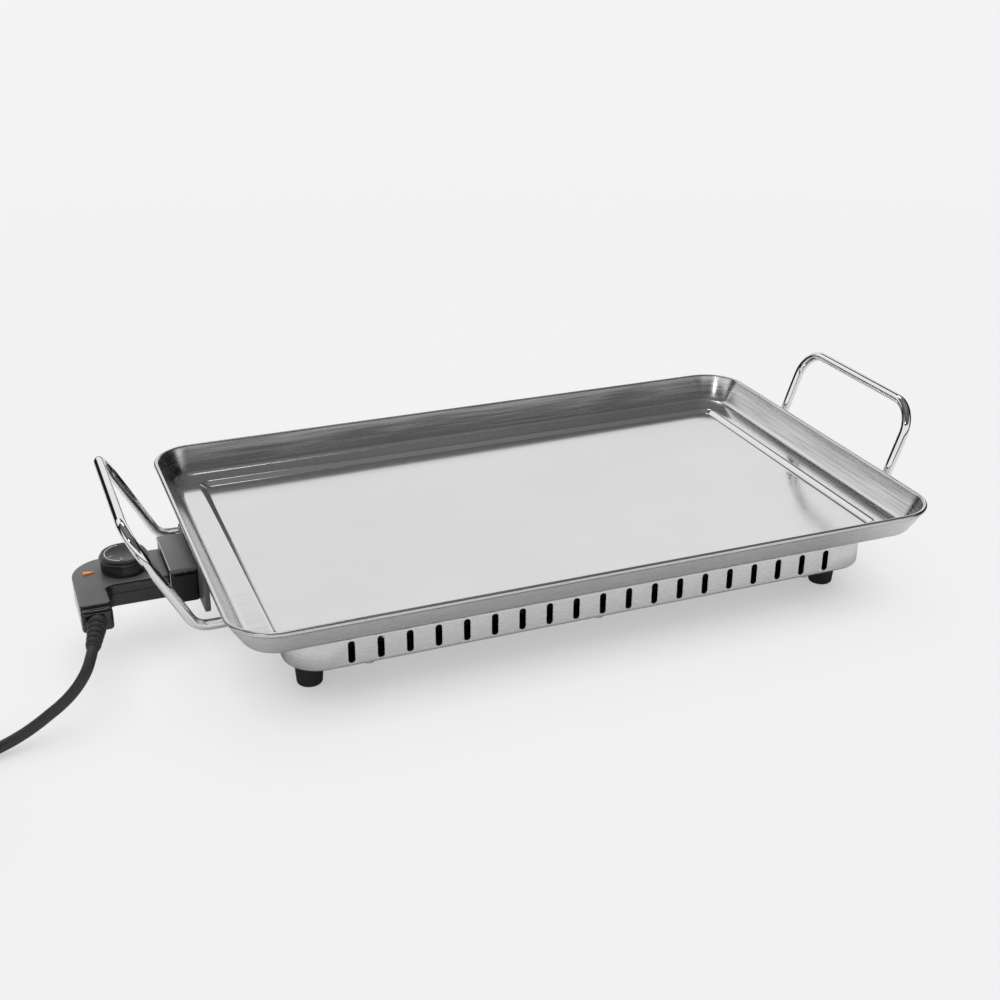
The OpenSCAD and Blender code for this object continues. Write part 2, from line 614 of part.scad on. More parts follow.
module nose_bores() {
    for (y = [-1, 1]) translate([nose_x0 - 1, y * pin_y, element_z]) rotate([0, 90, 0])
        cylinder(d = sleeve_d + 2 * snug, h = nose_x1 - nose_x0 + 10);
    translate([nose_x0 - 1, 0, element_z]) rotate([0, 90, 0])
        cylinder(d = probe_d + 2 * snug, h = nose_x1 - nose_x0 + 10);
    translate([nose_x0 - 1, tab_y - 2, element_z - tab_w / 2 - 0.8])
        cube([nose_x1 - nose_x0 + 10, 3, tab_w + 1.6]);
}
sleeve_d = 7;
module upper_housing() color(grey) at_pan() mirror([1, 0, 0]) difference() {
    union() {
        difference() {
            translate([0, 0, split_z + snug]) linear_extrude(conn_z1 - split_z - snug) connector_2d(0);
            translate([0, 0, split_z - 5]) linear_extrude(inner_z1 - split_z + 5) connector_2d(housing_t);
        }
        translate([nose_x0, -nose_w / 2, split_z + snug]) cube([nose_x1 + fit + 1 - nose_x0, nose_w,
            nose_z1 - split_z - snug]);
        for (b = boss_at) translate([b.x, b.y, split_z + snug])
            cylinder(d = boss_d, h = inner_z1 - split_z);
    }
    relief_hole(10);
    translate([dial_x, 0, inner_z1 - 1]) cylinder(d = 6 + 2 * fit, h = 10);
    translate([lens_x - lens_l / 2 - snug, -lens_w / 2 - snug, inner_z1 - 1])
        cube([lens_l + 2 * snug, lens_w + 2 * snug, 10]);
    for (b = boss_at) translate([b.x, b.y, split_z - 1]) cylinder(d = 2.5, h = 5);
}
lens_x = hx + 64.5;
lens_l = 7;
lens_w = 3.4;
module housing_screws() color(zinc) at_pan() mirror([1, 0, 0]) for (b = boss_at)
    translate([b.x, b.y, conn_z0 + 3]) rotate([180, 0, 0]) screw(2.4, 9.5, 4.8, 1.6);
module contact_sleeves() color(brass) at_pan() mirror([1, 0, 0]) both_y()
    translate([nose_x0 + 0.5, pin_y, element_z]) rotate([0, 90, 0]) difference() {
        cylinder(d = sleeve_d, h = sleeve_end - nose_x0 - 0.5);
        translate([0, 0, -1]) cylinder(d = pin_d + 0.3, h = pin_tip - nose_x0 + 2.5);
    }
sleeve_end = hx + 23;
module earth_spring() color(brass) at_pan() mirror([1, 0, 0])
    translate([nose_x0 + 1, tab_y - tab_t / 2 - fit - 0.8, element_z - tab_w / 2])
        cube([nose_x1 - nose_x0 - 0.5, 0.8, tab_w]);
module probe_rod() color(steel) at_pan() mirror([1, 0, 0]) translate([probe_tip + probe_d / 2, 0,
    element_z]) rotate([0, 90, 0]) {
    sphere(d = probe_d);
    cylinder(d = probe_d, h = sleeve_end + 3 - probe_tip - probe_d / 2);
}
module switch_frame() color(zinc) at_pan() mirror([1, 0, 0]) difference() {
    union() {
        translate([dial_x - 15, -8, inner_z1 - 5]) cube([28, 16, 1]);
        for (x = [-15, 12]) translate([dial_x + x, -8, inner_z0])
            cube([1, 16, inner_z1 - 5 - inner_z0 + 0.5]);
    }
    translate([dial_x, 0, inner_z1 - 10]) cylinder(d = 4.6, h = 10);
}
strip_z = [inner_z0 + 1.4, inner_z0 + 3.2, inner_z0 + 5];
module strip(z, l, t) translate([stack_x + 3 - l, -strip_w / 2, z]) cube([l, strip_w, t]);
module fixed_contact() color(brass) at_pan() mirror([1, 0, 0]) {
    strip(strip_z[0], 20, 0.5);
    translate([stack_x - 13, 0, strip_z[0]]) cylinder(d = 4, h = 1.1);
}
module moving_contact() color(brass) at_pan() mirror([1, 0, 0]) {
    strip(strip_z[1], 20, 0.4);
    translate([stack_x - 13, 0, strip_z[1] - 0.5]) cylinder(d = 4, h = 0.7);
}
module bimetal_strip() color([0.7, 0.6, 0.5]) at_pan() mirror([1, 0, 0]) strip(strip_z[2], 20, 0.8);
module insulator_stack() color(ceramic) at_pan() mirror([1, 0, 0]) translate([stack_x, 0, 0]) {
    translate([0, 0, inner_z0 + snug]) cylinder(d = 5, h = strip_z[0] - inner_z0 - 2 * snug);
    translate([0, 0, strip_z[0] + 0.5 + snug]) cylinder(d = 5,
        h = strip_z[1] - strip_z[0] - 0.5 - 2 * snug);
    translate([0, 0, strip_z[1] + 0.4 + snug]) cylinder(d = 5,
        h = strip_z[2] - strip_z[1] - 0.4 - 2 * snug);
    translate([0, 0, strip_z[2] + 0.8 + snug]) cylinder(d = 5,
        h = inner_z1 - 5 - strip_z[2] - 0.8 - 2 * snug);
}
pin_travel = 0.7;
module adjusting_pin() color(steel) at_pan() mirror([1, 0, 0])
    translate([dial_x, 0, strip_z[2] + 0.8 + pin_travel + 0.1])
        cylinder(d = 4, h = conn_z1 + 1 - strip_z[2] - 0.8 - pin_travel);
module dial_spindle() color(brass) at_pan() mirror([1, 0, 0]) translate([dial_x, 0, inner_z1 - 3.6])
    difference() {
    cylinder(d = 6, h = dial_z + dial_h - 4 - inner_z1 + 3.6);
    translate([0, 0, -1]) cylinder(d = 4 + 2 * fit, h = 11);
}
module dial_knob() color(black) at_pan() mirror([1, 0, 0]) translate([dial_x, 0, dial_z]) difference() {
    union() {
        cylinder(d = dial_d - 2, h = dial_h - 2.6);
        translate([0, 0, dial_h - 4.2]) cylinder(d = dial_d, h = 2.6);
        for (k = [0:35]) rotate([0, 0, 10 * k]) translate([dial_d / 2 - 1.2, 0, 0.6])
            cylinder(d = 1, h = dial_h - 5, $fn = 16);
    }
    translate([0, 0, -1]) cylinder(d = 6 + 2 * snug, h = dial_h - 3 + snug);
}
module dial_cap() color(grey) at_pan() mirror([1, 0, 0]) translate([dial_x, 0,
    dial_z + dial_h - 1.6 + snug])
    cylinder(d = dial_d - 2.4, h = 1.6 - snug);
module indicator_lens() color([1, 0.5, 0.15]) at_pan() mirror([1, 0, 0])
    translate([lens_x, 0, inner_z1]) rotate([90, 0, 0])
    translate([0, 0, -lens_w / 2]) linear_extrude(lens_w)
        polygon([[-lens_l / 2, 0], [lens_l / 2, 0], [lens_l / 2, 2.2], [-lens_l / 2, 3.4]]);
module neon_lamp() color([1, 0.7, 0.5]) at_pan() mirror([1, 0, 0])
    translate([lens_x, 0, inner_z1 - 0.3]) mirror([0, 0, 1]) {
    cylinder(d = 4.6, h = 5);
    translate([0, 0, 5]) sphere(d = 4.6);
}
lead_d = 2.4;
lead_bend = 8;
lead_z = inner_z0 + 3;
module lead(x, y, s) {
    translate([x, -arm_y + 16, lead_z]) rotate([-90, 0, 0]) cylinder(d = lead_d,
        h = y - lead_bend + arm_y - 16);
    translate([x - lead_bend, y - lead_bend, lead_z]) rotate_extrude(angle = 90)
        translate([lead_bend, 0]) circle(d = lead_d);
    translate([sleeve_end + snug, y, lead_z]) rotate([0, 90, 0])
        cylinder(d = lead_d, h = x - lead_bend - sleeve_end - snug);
}
module inner_leads() color([0.3, 0.4, 0.7]) at_pan() mirror([1, 0, 0]) {
    lead(arm_mid + 3, 12.2);
    lead(arm_mid - 3, -12.2);
}
module cord_clamp() color(black) at_pan() mirror([1, 0, 0]) difference() {
    translate([arm_x0 + housing_t + 0.3, -arm_y + housing_t + 5, inner_z0 + snug])
        cube([arm_w - 2 * housing_t - 0.6, 8, 8.5]);
    translate([arm_mid, -arm_y - 1, relief_z - 1.5]) rotate([-90, 0, 0]) cylinder(d = cord_d - 0.6, h = 20);
    for (x = [-1, 1]) translate([arm_mid + x * 5.6, -arm_y + housing_t + 9, inner_z0 - 1])
        cylinder(d = 1.9, h = 14);
}
module clamp_screws() color(zinc) at_pan() mirror([1, 0, 0]) for (x = [-1, 1])
    translate([arm_mid + x * 5.6, -arm_y + housing_t + 9, inner_z0 + 8.5 + snug]) screw(1.8, 8, 3.4, 1);
// the moulded strain relief, leaning the way the cord hangs, with its collar inside the housing
module strain_relief() color(black) at_pan() mirror([1, 0, 0]) translate([arm_mid, -arm_y, relief_z]) {
    rotate([90, 0, 0]) translate([0, 0, -3.9]) cylinder(d = 10 - 2 * snug, h = 3.9 + relief_off + 0.6);
    translate([0, -relief_off, 0]) rotate([90 + relief_drop, 0, relief_turn])
        cylinder(d1 = relief_base, d2 = cord_d + 2, h = relief_l);
}

// ---- cord, coil and plug ----
module power_cord() color(black) at_arm() swept(cord_pts, cord_d);
module cord_tail() color(black) at_arm() swept(tail_pts, cord_d);
module cord_coil() color(black) at_arm() translate([coil_at.x, coil_at.y, coil_z0]) rotate_extrude()
    translate([(coil_r0 + coil_r1) / 2, coil_h / 2]) rounded((coil_r1 - coil_r0 + cord_d)
        / 2, coil_h / 2, cord_d / 2);
module coil_tie() color(grey) at_arm() translate([coil_at.x, coil_at.y, 0]) rotate([0, 0, -60])
    translate([0, -tie_w / 2, 0]) difference() {
    r0 = coil_r0 - cord_d / 2 - 0.5;
    r1 = coil_r1 + cord_d / 2 + 0.1;
    translate([r0 - tie_t, 0, 0]) cube([r1 - r0 + 2 * tie_t, tie_w, coil_z0 + coil_h + tie_t]);
    translate([r0, -1, coil_z0 - snug]) cube([r1 - r0, tie_w + 2, coil_h + 2 * snug]);
}
plug_at = tail_pts[len(tail_pts) - 1];
module plug_body() color(black) at_arm() translate([plug_at.x, plug_at.y, plug_r]) rotate([90, 0, 0])
    difference() {
    union() {
        cylinder(d1 = cord_d + 2, d2 = 15, h = plug_relief_l);
        translate([0, 0, plug_relief_l]) cylinder(d1 = 22, d2 = 2 * plug_r, h = 12);
        translate([0, 0, plug_relief_l + 12]) cylinder(r = plug_r, h = plug_body_l - 12);
    }
    for (x = [-1, 1]) translate([x * plug_pin_pitch / 2, 0, plug_relief_l + plug_body_l - 8])
        cylinder(d = plug_shank_d + 2 * snug, h = 9);
    for (y = [-1, 1]) translate([-3, y * plug_r - 2, plug_relief_l + 16]) cube([6, 4, 30]);
}
module plug_pins() color(chrome) at_arm() translate([plug_at.x, plug_at.y, plug_r]) rotate([90, 0, 0])
    for (x = [-1, 1]) translate([x * plug_pin_pitch / 2, 0, plug_relief_l + plug_body_l + snug]) {
        translate([0, 0, -8]) cylinder(d = plug_shank_d, h = 8.5);
        cylinder(d = plug_pin_d, h = plug_pin_l - plug_pin_d / 2);
        translate([0, 0, plug_pin_l - plug_pin_d / 2]) sphere(d = plug_pin_d);
    }

griddle_pan();
body_shell();
base_frame();
frame_screws();
frame_nuts();
spreader_plate();
heating_element();
element_clamps();
clamp_nuts();
heat_reflector();
bottom_cover();
cover_screws();
foot_front_left();
foot_front_right();
foot_back_left();
foot_back_right();
foot_screws();
foot_nuts();
handle_left();
handle_right();
handle_nuts();
socket_mount();
mount_screws();
socket_shroud();
shroud_screws();
power_pins();
probe_guide();
earth_tab();
lower_housing();
upper_housing();
housing_screws();
contact_sleeves();
earth_spring();
probe_rod();
switch_frame();
fixed_contact();
moving_contact();
bimetal_strip();
insulator_stack();
adjusting_pin();
dial_spindle();
dial_knob();
dial_cap();
indicator_lens();
neon_lamp();
inner_leads();
cord_clamp();
clamp_screws();
strain_relief();
power_cord();
cord_coil();
coil_tie();
cord_tail();
plug_body();
plug_pins();
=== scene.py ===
import json
import math

import bmesh
import bpy
from mathutils import Matrix, Vector


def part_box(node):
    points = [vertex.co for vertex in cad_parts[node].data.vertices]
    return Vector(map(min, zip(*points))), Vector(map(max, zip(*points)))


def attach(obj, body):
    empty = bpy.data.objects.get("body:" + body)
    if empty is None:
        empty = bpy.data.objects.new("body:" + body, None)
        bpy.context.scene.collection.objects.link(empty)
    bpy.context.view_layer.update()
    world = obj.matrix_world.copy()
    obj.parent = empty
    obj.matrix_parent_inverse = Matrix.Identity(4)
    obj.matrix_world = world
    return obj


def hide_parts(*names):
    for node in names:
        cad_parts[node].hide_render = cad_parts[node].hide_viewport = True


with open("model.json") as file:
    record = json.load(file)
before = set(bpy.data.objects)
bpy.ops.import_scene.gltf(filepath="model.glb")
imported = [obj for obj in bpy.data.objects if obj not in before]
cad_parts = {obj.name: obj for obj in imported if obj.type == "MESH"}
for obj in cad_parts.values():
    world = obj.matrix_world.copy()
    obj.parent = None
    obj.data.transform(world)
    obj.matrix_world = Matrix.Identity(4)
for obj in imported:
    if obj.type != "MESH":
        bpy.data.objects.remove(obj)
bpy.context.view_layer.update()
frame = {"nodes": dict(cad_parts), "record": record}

mm = 0.001
nodes = frame["nodes"]

# places that several pieces share, in mm from the middle of the pan
body = {
    "halfX": 250, "halfY": 154.5, "rimR": 32, "rimZ": 73, "beadR": 1.7,
    "floorZ": 50.5, "ledgeH": 3, "wallRun": 18, "ledgeW": 13, "stepRun": 4.5, "stepR": 9,
    "sheet": 1.2, "bend": 7, "wallAngle": 58, "shellAngle": 31, "shellGap": 0.3, "shellT": 1,
    "shellZ": 45.2, "opening": (189, 112.5, 10), "socketGap": ((-260, -26, 40), (-180, 26, 57)),
    "frameX": 211.5, "frameY": 127.5, "frameZ": 24.5, "frameR": 24,
}
spreader = [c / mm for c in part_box("spreader_plate")[0]] + [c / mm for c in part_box("spreader_plate")[1]]
panX = (spreader[0] + spreader[3]) / 2
rootCollection = bpy.context.scene.collection
print("frame loaded, pan middle at x = %.2f mm" % panX)


def atPan(x, y, z):
    return Vector(((x + panX) * mm, y * mm, z * mm))


# camera
camera = {"place": (-371.9, -872.4, 492.7), "pitch": 65.24, "roll": 0.29, "yaw": -21.805, "lens": 51.3}


def makeCamera():
    data = bpy.data.cameras.new("camera")
    data.lens = camera["lens"]
    data.sensor_width = 36
    data.clip_start = 0.01
    cam = bpy.data.objects.new("camera", data)
    rootCollection.objects.link(cam)
    turn = (Matrix.Rotation(math.radians(camera["yaw"]), 4, "Z")
            @ Matrix.Rotation(math.radians(camera["pitch"]), 4, "X")
            @ Matrix.Rotation(math.radians(camera["roll"]), 4, "Z"))
    cam.matrix_world = Matrix.Translation(atPan(*camera["place"])) @ turn
    bpy.context.scene.camera = cam


makeCamera()
print("camera placed")


# shader groups, built once
def newGroup(name, inputs, outputs):
    group = bpy.data.node_groups.new(name, "ShaderNodeTree")
    for label, kind, value in inputs:
        socket = group.interface.new_socket(label, in_out="INPUT", socket_type=kind)
        socket.default_value = value
    for label, kind in outputs:
        group.interface.new_socket(label, in_out="OUTPUT", socket_type=kind)
    return group, group.nodes.new("NodeGroupInput"), group.nodes.new("NodeGroupOutput")


def addNode(tree, kind, **settings):
    node = tree.nodes.new(kind)
    for key, value in settings.items():
        setattr(node, key, value)
    return node


def brushedGroup():
    # fine lines that run along one axis, and slow cloudy changes
    group, start, end = newGroup("brushedGrain",
        [("Stretch", "NodeSocketVector", (20, 900, 900)), ("Cloud Scale", "NodeSocketFloat", 9.0)],
        [("Lines", "NodeSocketFloat"), ("Clouds", "NodeSocketFloat")])
    place = addNode(group, "ShaderNodeTexCoord")
    stretch = addNode(group, "ShaderNodeVectorMath", operation="MULTIPLY")
    lines = addNode(group, "ShaderNodeTexNoise")
    lines.inputs["Scale"].default_value = 1.0
    lines.inputs["Detail"].default_value = 3.0
    clouds = addNode(group, "ShaderNodeTexNoise")
    clouds.inputs["Detail"].default_value = 2.0
    link = group.links.new
    link(place.outputs["Object"], stretch.inputs[0])
    link(start.outputs["Stretch"], stretch.inputs[1])
    link(stretch.outputs[0], lines.inputs["Vector"])
    link(place.outputs["Object"], clouds.inputs["Vector"])
    link(start.outputs["Cloud Scale"], clouds.inputs["Scale"])
    link(lines.outputs["Fac"], end.inputs["Lines"])
    link(clouds.outputs["Fac"], end.inputs["Clouds"])
    return group


def speckGroup():
    # the pitted skin of moulded plastic and rubber, with faint dust and scuffs
    group, start, end = newGroup("mouldedSkin",
        [("Grain", "NodeSocketFloat", 1800.0), ("Scuffs", "NodeSocketFloat", 60.0)],
        [("Height", "NodeSocketFloat"), ("Wear", "NodeSocketFloat")])
    place = addNode(group, "ShaderNodeTexCoord")
    grain = addNode(group, "ShaderNodeTexNoise")
    grain.inputs["Detail"].default_value = 2.0
    scuffs = addNode(group, "ShaderNodeTexNoise")
    scuffs.inputs["Detail"].default_value = 6.0
    link = group.links.new
    link(place.outputs["Object"], grain.inputs["Vector"])
    link(place.outputs["Object"], scuffs.inputs["Vector"])
    link(start.outputs["Grain"], grain.inputs["Scale"])
    link(start.outputs["Scuffs"], scuffs.inputs["Scale"])
    link(grain.outputs["Fac"], end.inputs["Height"])
    link(scuffs.outputs["Fac"], end.inputs["Wear"])
    return group


brushedGrain = brushedGroup()
mouldedSkin = speckGroup()


def mapRange(tree, source, low, high):
    node = addNode(tree, "ShaderNodeMapRange")
    node.inputs["From Min"].default_value = 0.3
    node.inputs["From Max"].default_value = 0.7
    node.inputs["To Min"].default_value = low
    node.inputs["To Max"].default_value = high
    tree.links.new(source, node.inputs["Value"])
    return node.outputs["Result"]


def mixColours(tree, factor, dark, light):
    node = addNode(tree, "ShaderNodeMix", data_type="RGBA")
    node.inputs["A"].default_value = (*dark, 1)
    node.inputs["B"].default_value = (*light, 1)
    tree.links.new(factor, node.inputs["Factor"])
    return node.outputs["Result"]


def bumpInto(tree, shader, height, distance, strength=1.0):
    node = addNode(tree, "ShaderNodeBump")
    node.inputs["Distance"].default_value = distance
    node.inputs["Strength"].default_value = strength
    tree.links.new(height, node.inputs["Height"])
    tree.links.new(node.outputs["Normal"], shader.inputs["Normal"])


def startMaterial(name):
    material = bpy.data.materials.new(name)
    material.use_nodes = True
    return material, material.node_tree, material.node_tree.nodes["Principled BSDF"]


def metalMaterial(name, dark, light, rough, stretch, bump=0.02, waves=0.0):
    material, tree, shader = startMaterial(name)
    shader.inputs["Metallic"].default_value = 1.0
    grain = addNode(tree, "ShaderNodeGroup", node_tree=brushedGrain)
    grain.inputs["Stretch"].default_value = stretch
    tree.links.new(mixColours(tree, grain.outputs["Clouds"], dark, light), shader.inputs["Base Color"])
    tree.links.new(mapRange(tree, grain.outputs["Lines"], *rough), shader.inputs["Roughness"])
    height = grain.outputs["Lines"]
    if waves:
        height = addWaves(tree, grain, waves / bump)
    bumpInto(tree, shader, height, bump * mm, 0.5)
    return material


def addWaves(tree, grain, amount):
    # pressed sheet is never quite flat, so slow waves join the fine grain
    node = addNode(tree, "ShaderNodeMath", operation="MULTIPLY_ADD")
    node.inputs[1].default_value = amount
    tree.links.new(grain.outputs["Clouds"], node.inputs[0])
    tree.links.new(grain.outputs["Lines"], node.inputs[2])
    return node.outputs[0]


def plasticMaterial(name, dark, light, rough, grain=1800, bump=0.03, coat=0.0, shine=0.5):
    material, tree, shader = startMaterial(name)
    shader.inputs["Specular IOR Level"].default_value = shine
    skin = addNode(tree, "ShaderNodeGroup", node_tree=mouldedSkin)
    skin.inputs["Grain"].default_value = grain
    shader.inputs["Coat Weight"].default_value = coat
    shader.inputs["Coat Roughness"].default_value = 0.08
    tree.links.new(mixColours(tree, skin.outputs["Wear"], dark, light), shader.inputs["Base Color"])
    tree.links.new(mapRange(tree, skin.outputs["Wear"], *rough), shader.inputs["Roughness"])
    bumpInto(tree, shader, skin.outputs["Height"], bump * mm, 0.5)
    return material


# dark and light tone, roughness from and to, stretch of the grain, height of grain and of waves in mm
metals = {
    "panSteel": ((0.76, 0.76, 0.76), (0.84, 0.84, 0.84), (0.09, 0.14), (8, 600, 600), 0.003),
    "wallSteel": ((0.62, 0.62, 0.62), (0.84, 0.84, 0.84), (0.16, 0.32), (18, 18, 700), 0.012, 0.5),
    "shellSteel": ((0.72, 0.72, 0.72), (0.86, 0.86, 0.86), (0.24, 0.34), (14, 14, 700), 0.008, 0.12),
    "frameSteel": ((0.68, 0.68, 0.68), (0.84, 0.84, 0.84), (0.24, 0.31), (14, 14, 800), 0.005, 0.2),
    "zinc": ((0.55, 0.57, 0.6), (0.68, 0.7, 0.73), (0.3, 0.5), (400, 400, 400)),
    "aluminium": ((0.7, 0.7, 0.72), (0.8, 0.8, 0.82), (0.28, 0.45), (60, 700, 700)),
    "darkTube": ((0.22, 0.2, 0.19), (0.42, 0.4, 0.38), (0.3, 0.5), (300, 300, 300)),
    "chrome": ((0.86, 0.86, 0.87), (0.92, 0.92, 0.93), (0.03, 0.07), (200, 200, 200), 0.004),
    "brass": ((0.7, 0.52, 0.2), (0.82, 0.66, 0.3), (0.2, 0.34), (300, 300, 300)),
}
# the same, then fineness of the skin, its height in mm, coat and shine
plastics = {
    # the first plastic is the satin dark plastic painted a lighter grey to stand in for the light falling on
    # it; the housing's top, the shroud lid and the mount plate wear it
    "litDarkPlastic": ((0.115, 0.115, 0.116), (0.145, 0.145, 0.146), (0.3, 0.42)),
    "blackPlastic": ((0.01, 0.01, 0.011), (0.016, 0.016, 0.017), (0.22, 0.34), 1800, 0.03, 0.0, 0.3),
    "glossBlack": ((0.006, 0.006, 0.007), (0.01, 0.01, 0.011), (0.1, 0.16), 900, 0.01, 0.7, 0.4),
    "rubber": ((0.012, 0.012, 0.012), (0.02, 0.02, 0.02), (0.55, 0.7)),
    # near black for the painted shade seen through the frame's slots
    "slotShadeBlack": ((0.008, 0.008, 0.008), (0.02, 0.02, 0.02), (0.7, 0.9)),
    "cordSkin": ((0.022, 0.022, 0.023), (0.035, 0.035, 0.036), (0.38, 0.52), 2600),
    "ceramic": ((0.8, 0.78, 0.72), (0.88, 0.86, 0.81), (0.5, 0.6)),
    "leadSkin": ((0.1, 0.18, 0.4), (0.14, 0.24, 0.5), (0.4, 0.5)),
    "discPlastic": ((0.03, 0.03, 0.031), (0.042, 0.042, 0.043), (0.24, 0.34)),
    # the pale grey of the painted highlight on the shroud's open end
    "highlightGrey": ((0.42, 0.42, 0.42), (0.55, 0.55, 0.55), (0.3, 0.4)),
    "amber": ((0.95, 0.3, 0.03), (1.0, 0.48, 0.05), (0.14, 0.22), 900, 0.01, 0.4),
    "redRim": ((0.5, 0.05, 0.02), (0.6, 0.08, 0.03), (0.2, 0.3)),
    "ink": ((0.86, 0.86, 0.86), (0.94, 0.94, 0.94), (0.5, 0.6)),
    "greenInk": ((0.62, 0.7, 0.03), (0.74, 0.8, 0.05), (0.4, 0.5)),
}
finishes = {name: metalMaterial(name, *look) for name, look in metals.items()}
finishes.update((name, plasticMaterial(name, *look)) for name, look in plastics.items())
nodeFinishes = {
    "pan_steel": "panSteel", "brushed_steel": "frameSteel", "zinc_steel": "zinc", "aluminium": "aluminium",
    "element_steel": "darkTube", "foot_rubber": "rubber", "chrome": "chrome", "dark_plastic": "litDarkPlastic",
    "black_plastic": "blackPlastic", "brass": "brass", "ceramic": "ceramic", "amber_lens": "amber",
    "lamp_glass": "amber", "lead_sheath": "leadSkin", "cord_rubber": "cordSkin", "tie": "rubber",
}
for part in frame["record"]["subparts"]:
    holder = nodes[part["node"]]
    holder.data.materials.clear()
    holder.data.materials.append(finishes[nodeFinishes[part["material_slot"]]])
nodes["heat_reflector"].data.materials[0] = finishes["slotShadeBlack"]  # painted shade: near black so the slots look dark
print("materials made")


# mesh helpers
def finishMesh(mesh, angle=32):
    for face in mesh.polygons:
        face.use_smooth = True
    mesh.set_sharp_from_angle(angle=math.radians(angle))


def newPiece(name, bm, finish, angle=32, turnNormals=True):
    bmesh.ops.remove_doubles(bm, verts=bm.verts, dist=1e-6)
    if turnNormals:
        bmesh.ops.recalc_face_normals(bm, faces=bm.faces)
    mesh = bpy.data.meshes.new(name)
    bm.to_mesh(mesh)
    bm.free()
    mesh.materials.append(finishes[finish])
    finishMesh(mesh, angle)
    piece = bpy.data.objects.new(name, mesh)
    rootCollection.objects.link(piece)
    return piece


def stand(piece, slotName, bodyName, *replaced):
    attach(piece, bodyName)
    if replaced:
        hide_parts(*replaced)


def arcPoints(cx, cy, radius, start, end, steps=8):
    angles = [math.radians(start + (end - start) * i / steps) for i in range(steps + 1)]
    return [(cx + radius * math.cos(a), cy + radius * math.sin(a)) for a in angles]


def roundOutline(halfX, halfY, radius, steps=12, middleY=0):
    # once round a rounded rectangle, corner by corner
    points = []
    for k, (sx, sy) in enumerate(((1, 1), (-1, 1), (-1, -1), (1, -1))):
        points += arcPoints(sx * (halfX - radius), middleY + sy * (halfY - radius), radius,
                            90 * k, 90 * k + 90, steps)
    return points


def ringRound(halfX, halfY, radius, z):
    # one closed ring of a rounded rectangle, in mm from the pan's middle
    return [atPan(x, y, z) for x, y in roundOutline(halfX, halfY, radius)]


def loft(bm, rings, closed=False, caps=(False, False)):
    rows = [[bm.verts.new(p) for p in ring] for ring in rings]
    pairs = list(zip(rows, rows[1:])) + ([(rows[-1], rows[0])] if closed else [])
    count = len(rows[0])
    for a, b in pairs:
        for i in range(count):
            j = (i + 1) % count
            bm.faces.new((a[i], a[j], b[j], b[i]))
    if caps[0]:
        bm.faces.new(rows[0])
    if caps[1]:
        bm.faces.new(rows[-1])


def spun(bm, profile, place, steps=48, caps=(True, True)):
    # profile: (radius, height) pairs in mm, spun round place's own Z
    rings = [[place @ Vector((r * mm * math.cos(2 * math.pi * i / steps),
                              r * mm * math.sin(2 * math.pi * i / steps), h * mm))
              for i in range(steps)] for r, h in profile]
    loft(bm, rings, caps=caps)


def prism(bm, near, far):
    # a solid between two outlines with matching corners
    near = [bm.verts.new(spot) for spot in near]
    far = [bm.verts.new(spot) for spot in far]
    bm.faces.new(near)
    bm.faces.new(far)
    for i in range(len(near)):
        j = (i + 1) % len(near)
        bm.faces.new((near[i], near[j], far[j], far[i]))


def extruded(bm, outline, z0, z1):
    # outline in mm from the pan's middle
    prism(bm, [atPan(x, y, z0) for x, y in outline], [atPan(x, y, z1) for x, y in outline])


def boxAt(bm, low, high):
    x0, y0, z0 = low
    x1, y1, z1 = high
    extruded(bm, [(x0, y0), (x1, y0), (x1, y1), (x0, y1)], z0, z1)


def roundEdges(bm, width, segments=3, minAngle=30, keep=None):
    bmesh.ops.remove_doubles(bm, verts=bm.verts, dist=1e-6)
    bmesh.ops.recalc_face_normals(bm, faces=bm.faces)
    edges = [e for e in bm.edges if e.is_manifold and math.degrees(e.calc_face_angle(0)) > minAngle
             and (keep is None or keep(e))]
    bmesh.ops.bevel(bm, geom=edges, offset=width * mm, segments=segments, profile=0.5,
                    affect="EDGES", clamp_overlap=True)


def alongAxis(origin, direction):
    return Matrix.Translation(origin) @ Vector(direction).to_track_quat("Z", "Y").to_matrix().to_4x4()


# the cord, its coil and its plug
cord = {
    "radius": 3.5,
    "out": [(-322.7, -76.9, 41.65), (-325.3, -85, 39.9), (-328.5, -91.4, 36.4), (-333, -95.6, 31.7),
            (-338.5, -98.4, 26.7), (-345.5, -100.4, 21.5), (-354, -102, 16.5), (-362.5, -104, 12.2),
            (-372, -106.5, 8.6), (-384, -110, 5.9), (-398, -114.5, 4.6), (-414, -119, 4.5),
            (-430, -122.5, 4.5), (-444, -124, 4.5)],
    "tail": [(-504, -176, 11.5), (-504, -184, 12), (-504, -192, 13.4), (-504, -200, 15.4),
             (-504, -208, 17), (-504, -216, 18)],
    "coilMiddle": (-458, -170), "coilOuter": 46, "coilInner": 29, "lowZ": 4.5, "highZ": 11.5,
    "layerTurns": 2.4, "riseTurns": 0.45, "pointsPerTurn": 16,
}


def cordRoute():
    route = list(cord["out"])
    cx, cy = cord["coilMiddle"]
    layers, rise = cord["layerTurns"], cord["riseTurns"]
    total = 2 * layers + rise
    count = int(total * cord["pointsPerTurn"])
    for i in range(count + 1):
        turns = total * i / count
        if turns < layers:
            share, z = turns / layers, cord["lowZ"]
            radius = cord["coilOuter"] + (cord["coilInner"] - cord["coilOuter"]) * share
        elif turns < layers + rise:
            share = (turns - layers) / rise
            radius = cord["coilInner"]
            z = cord["lowZ"] + (cord["highZ"] - cord["lowZ"]) * (0.5 - 0.5 * math.cos(math.pi * share))
        else:
            share, z = (turns - layers - rise) / layers, cord["highZ"]
            radius = cord["coilInner"] + (cord["coilOuter"] - cord["coilInner"]) * share
        a = math.radians(90 + 360 * turns)
        route.append((cx + radius * math.cos(a), cy + radius * math.sin(a), z))
    return route + cord["tail"]


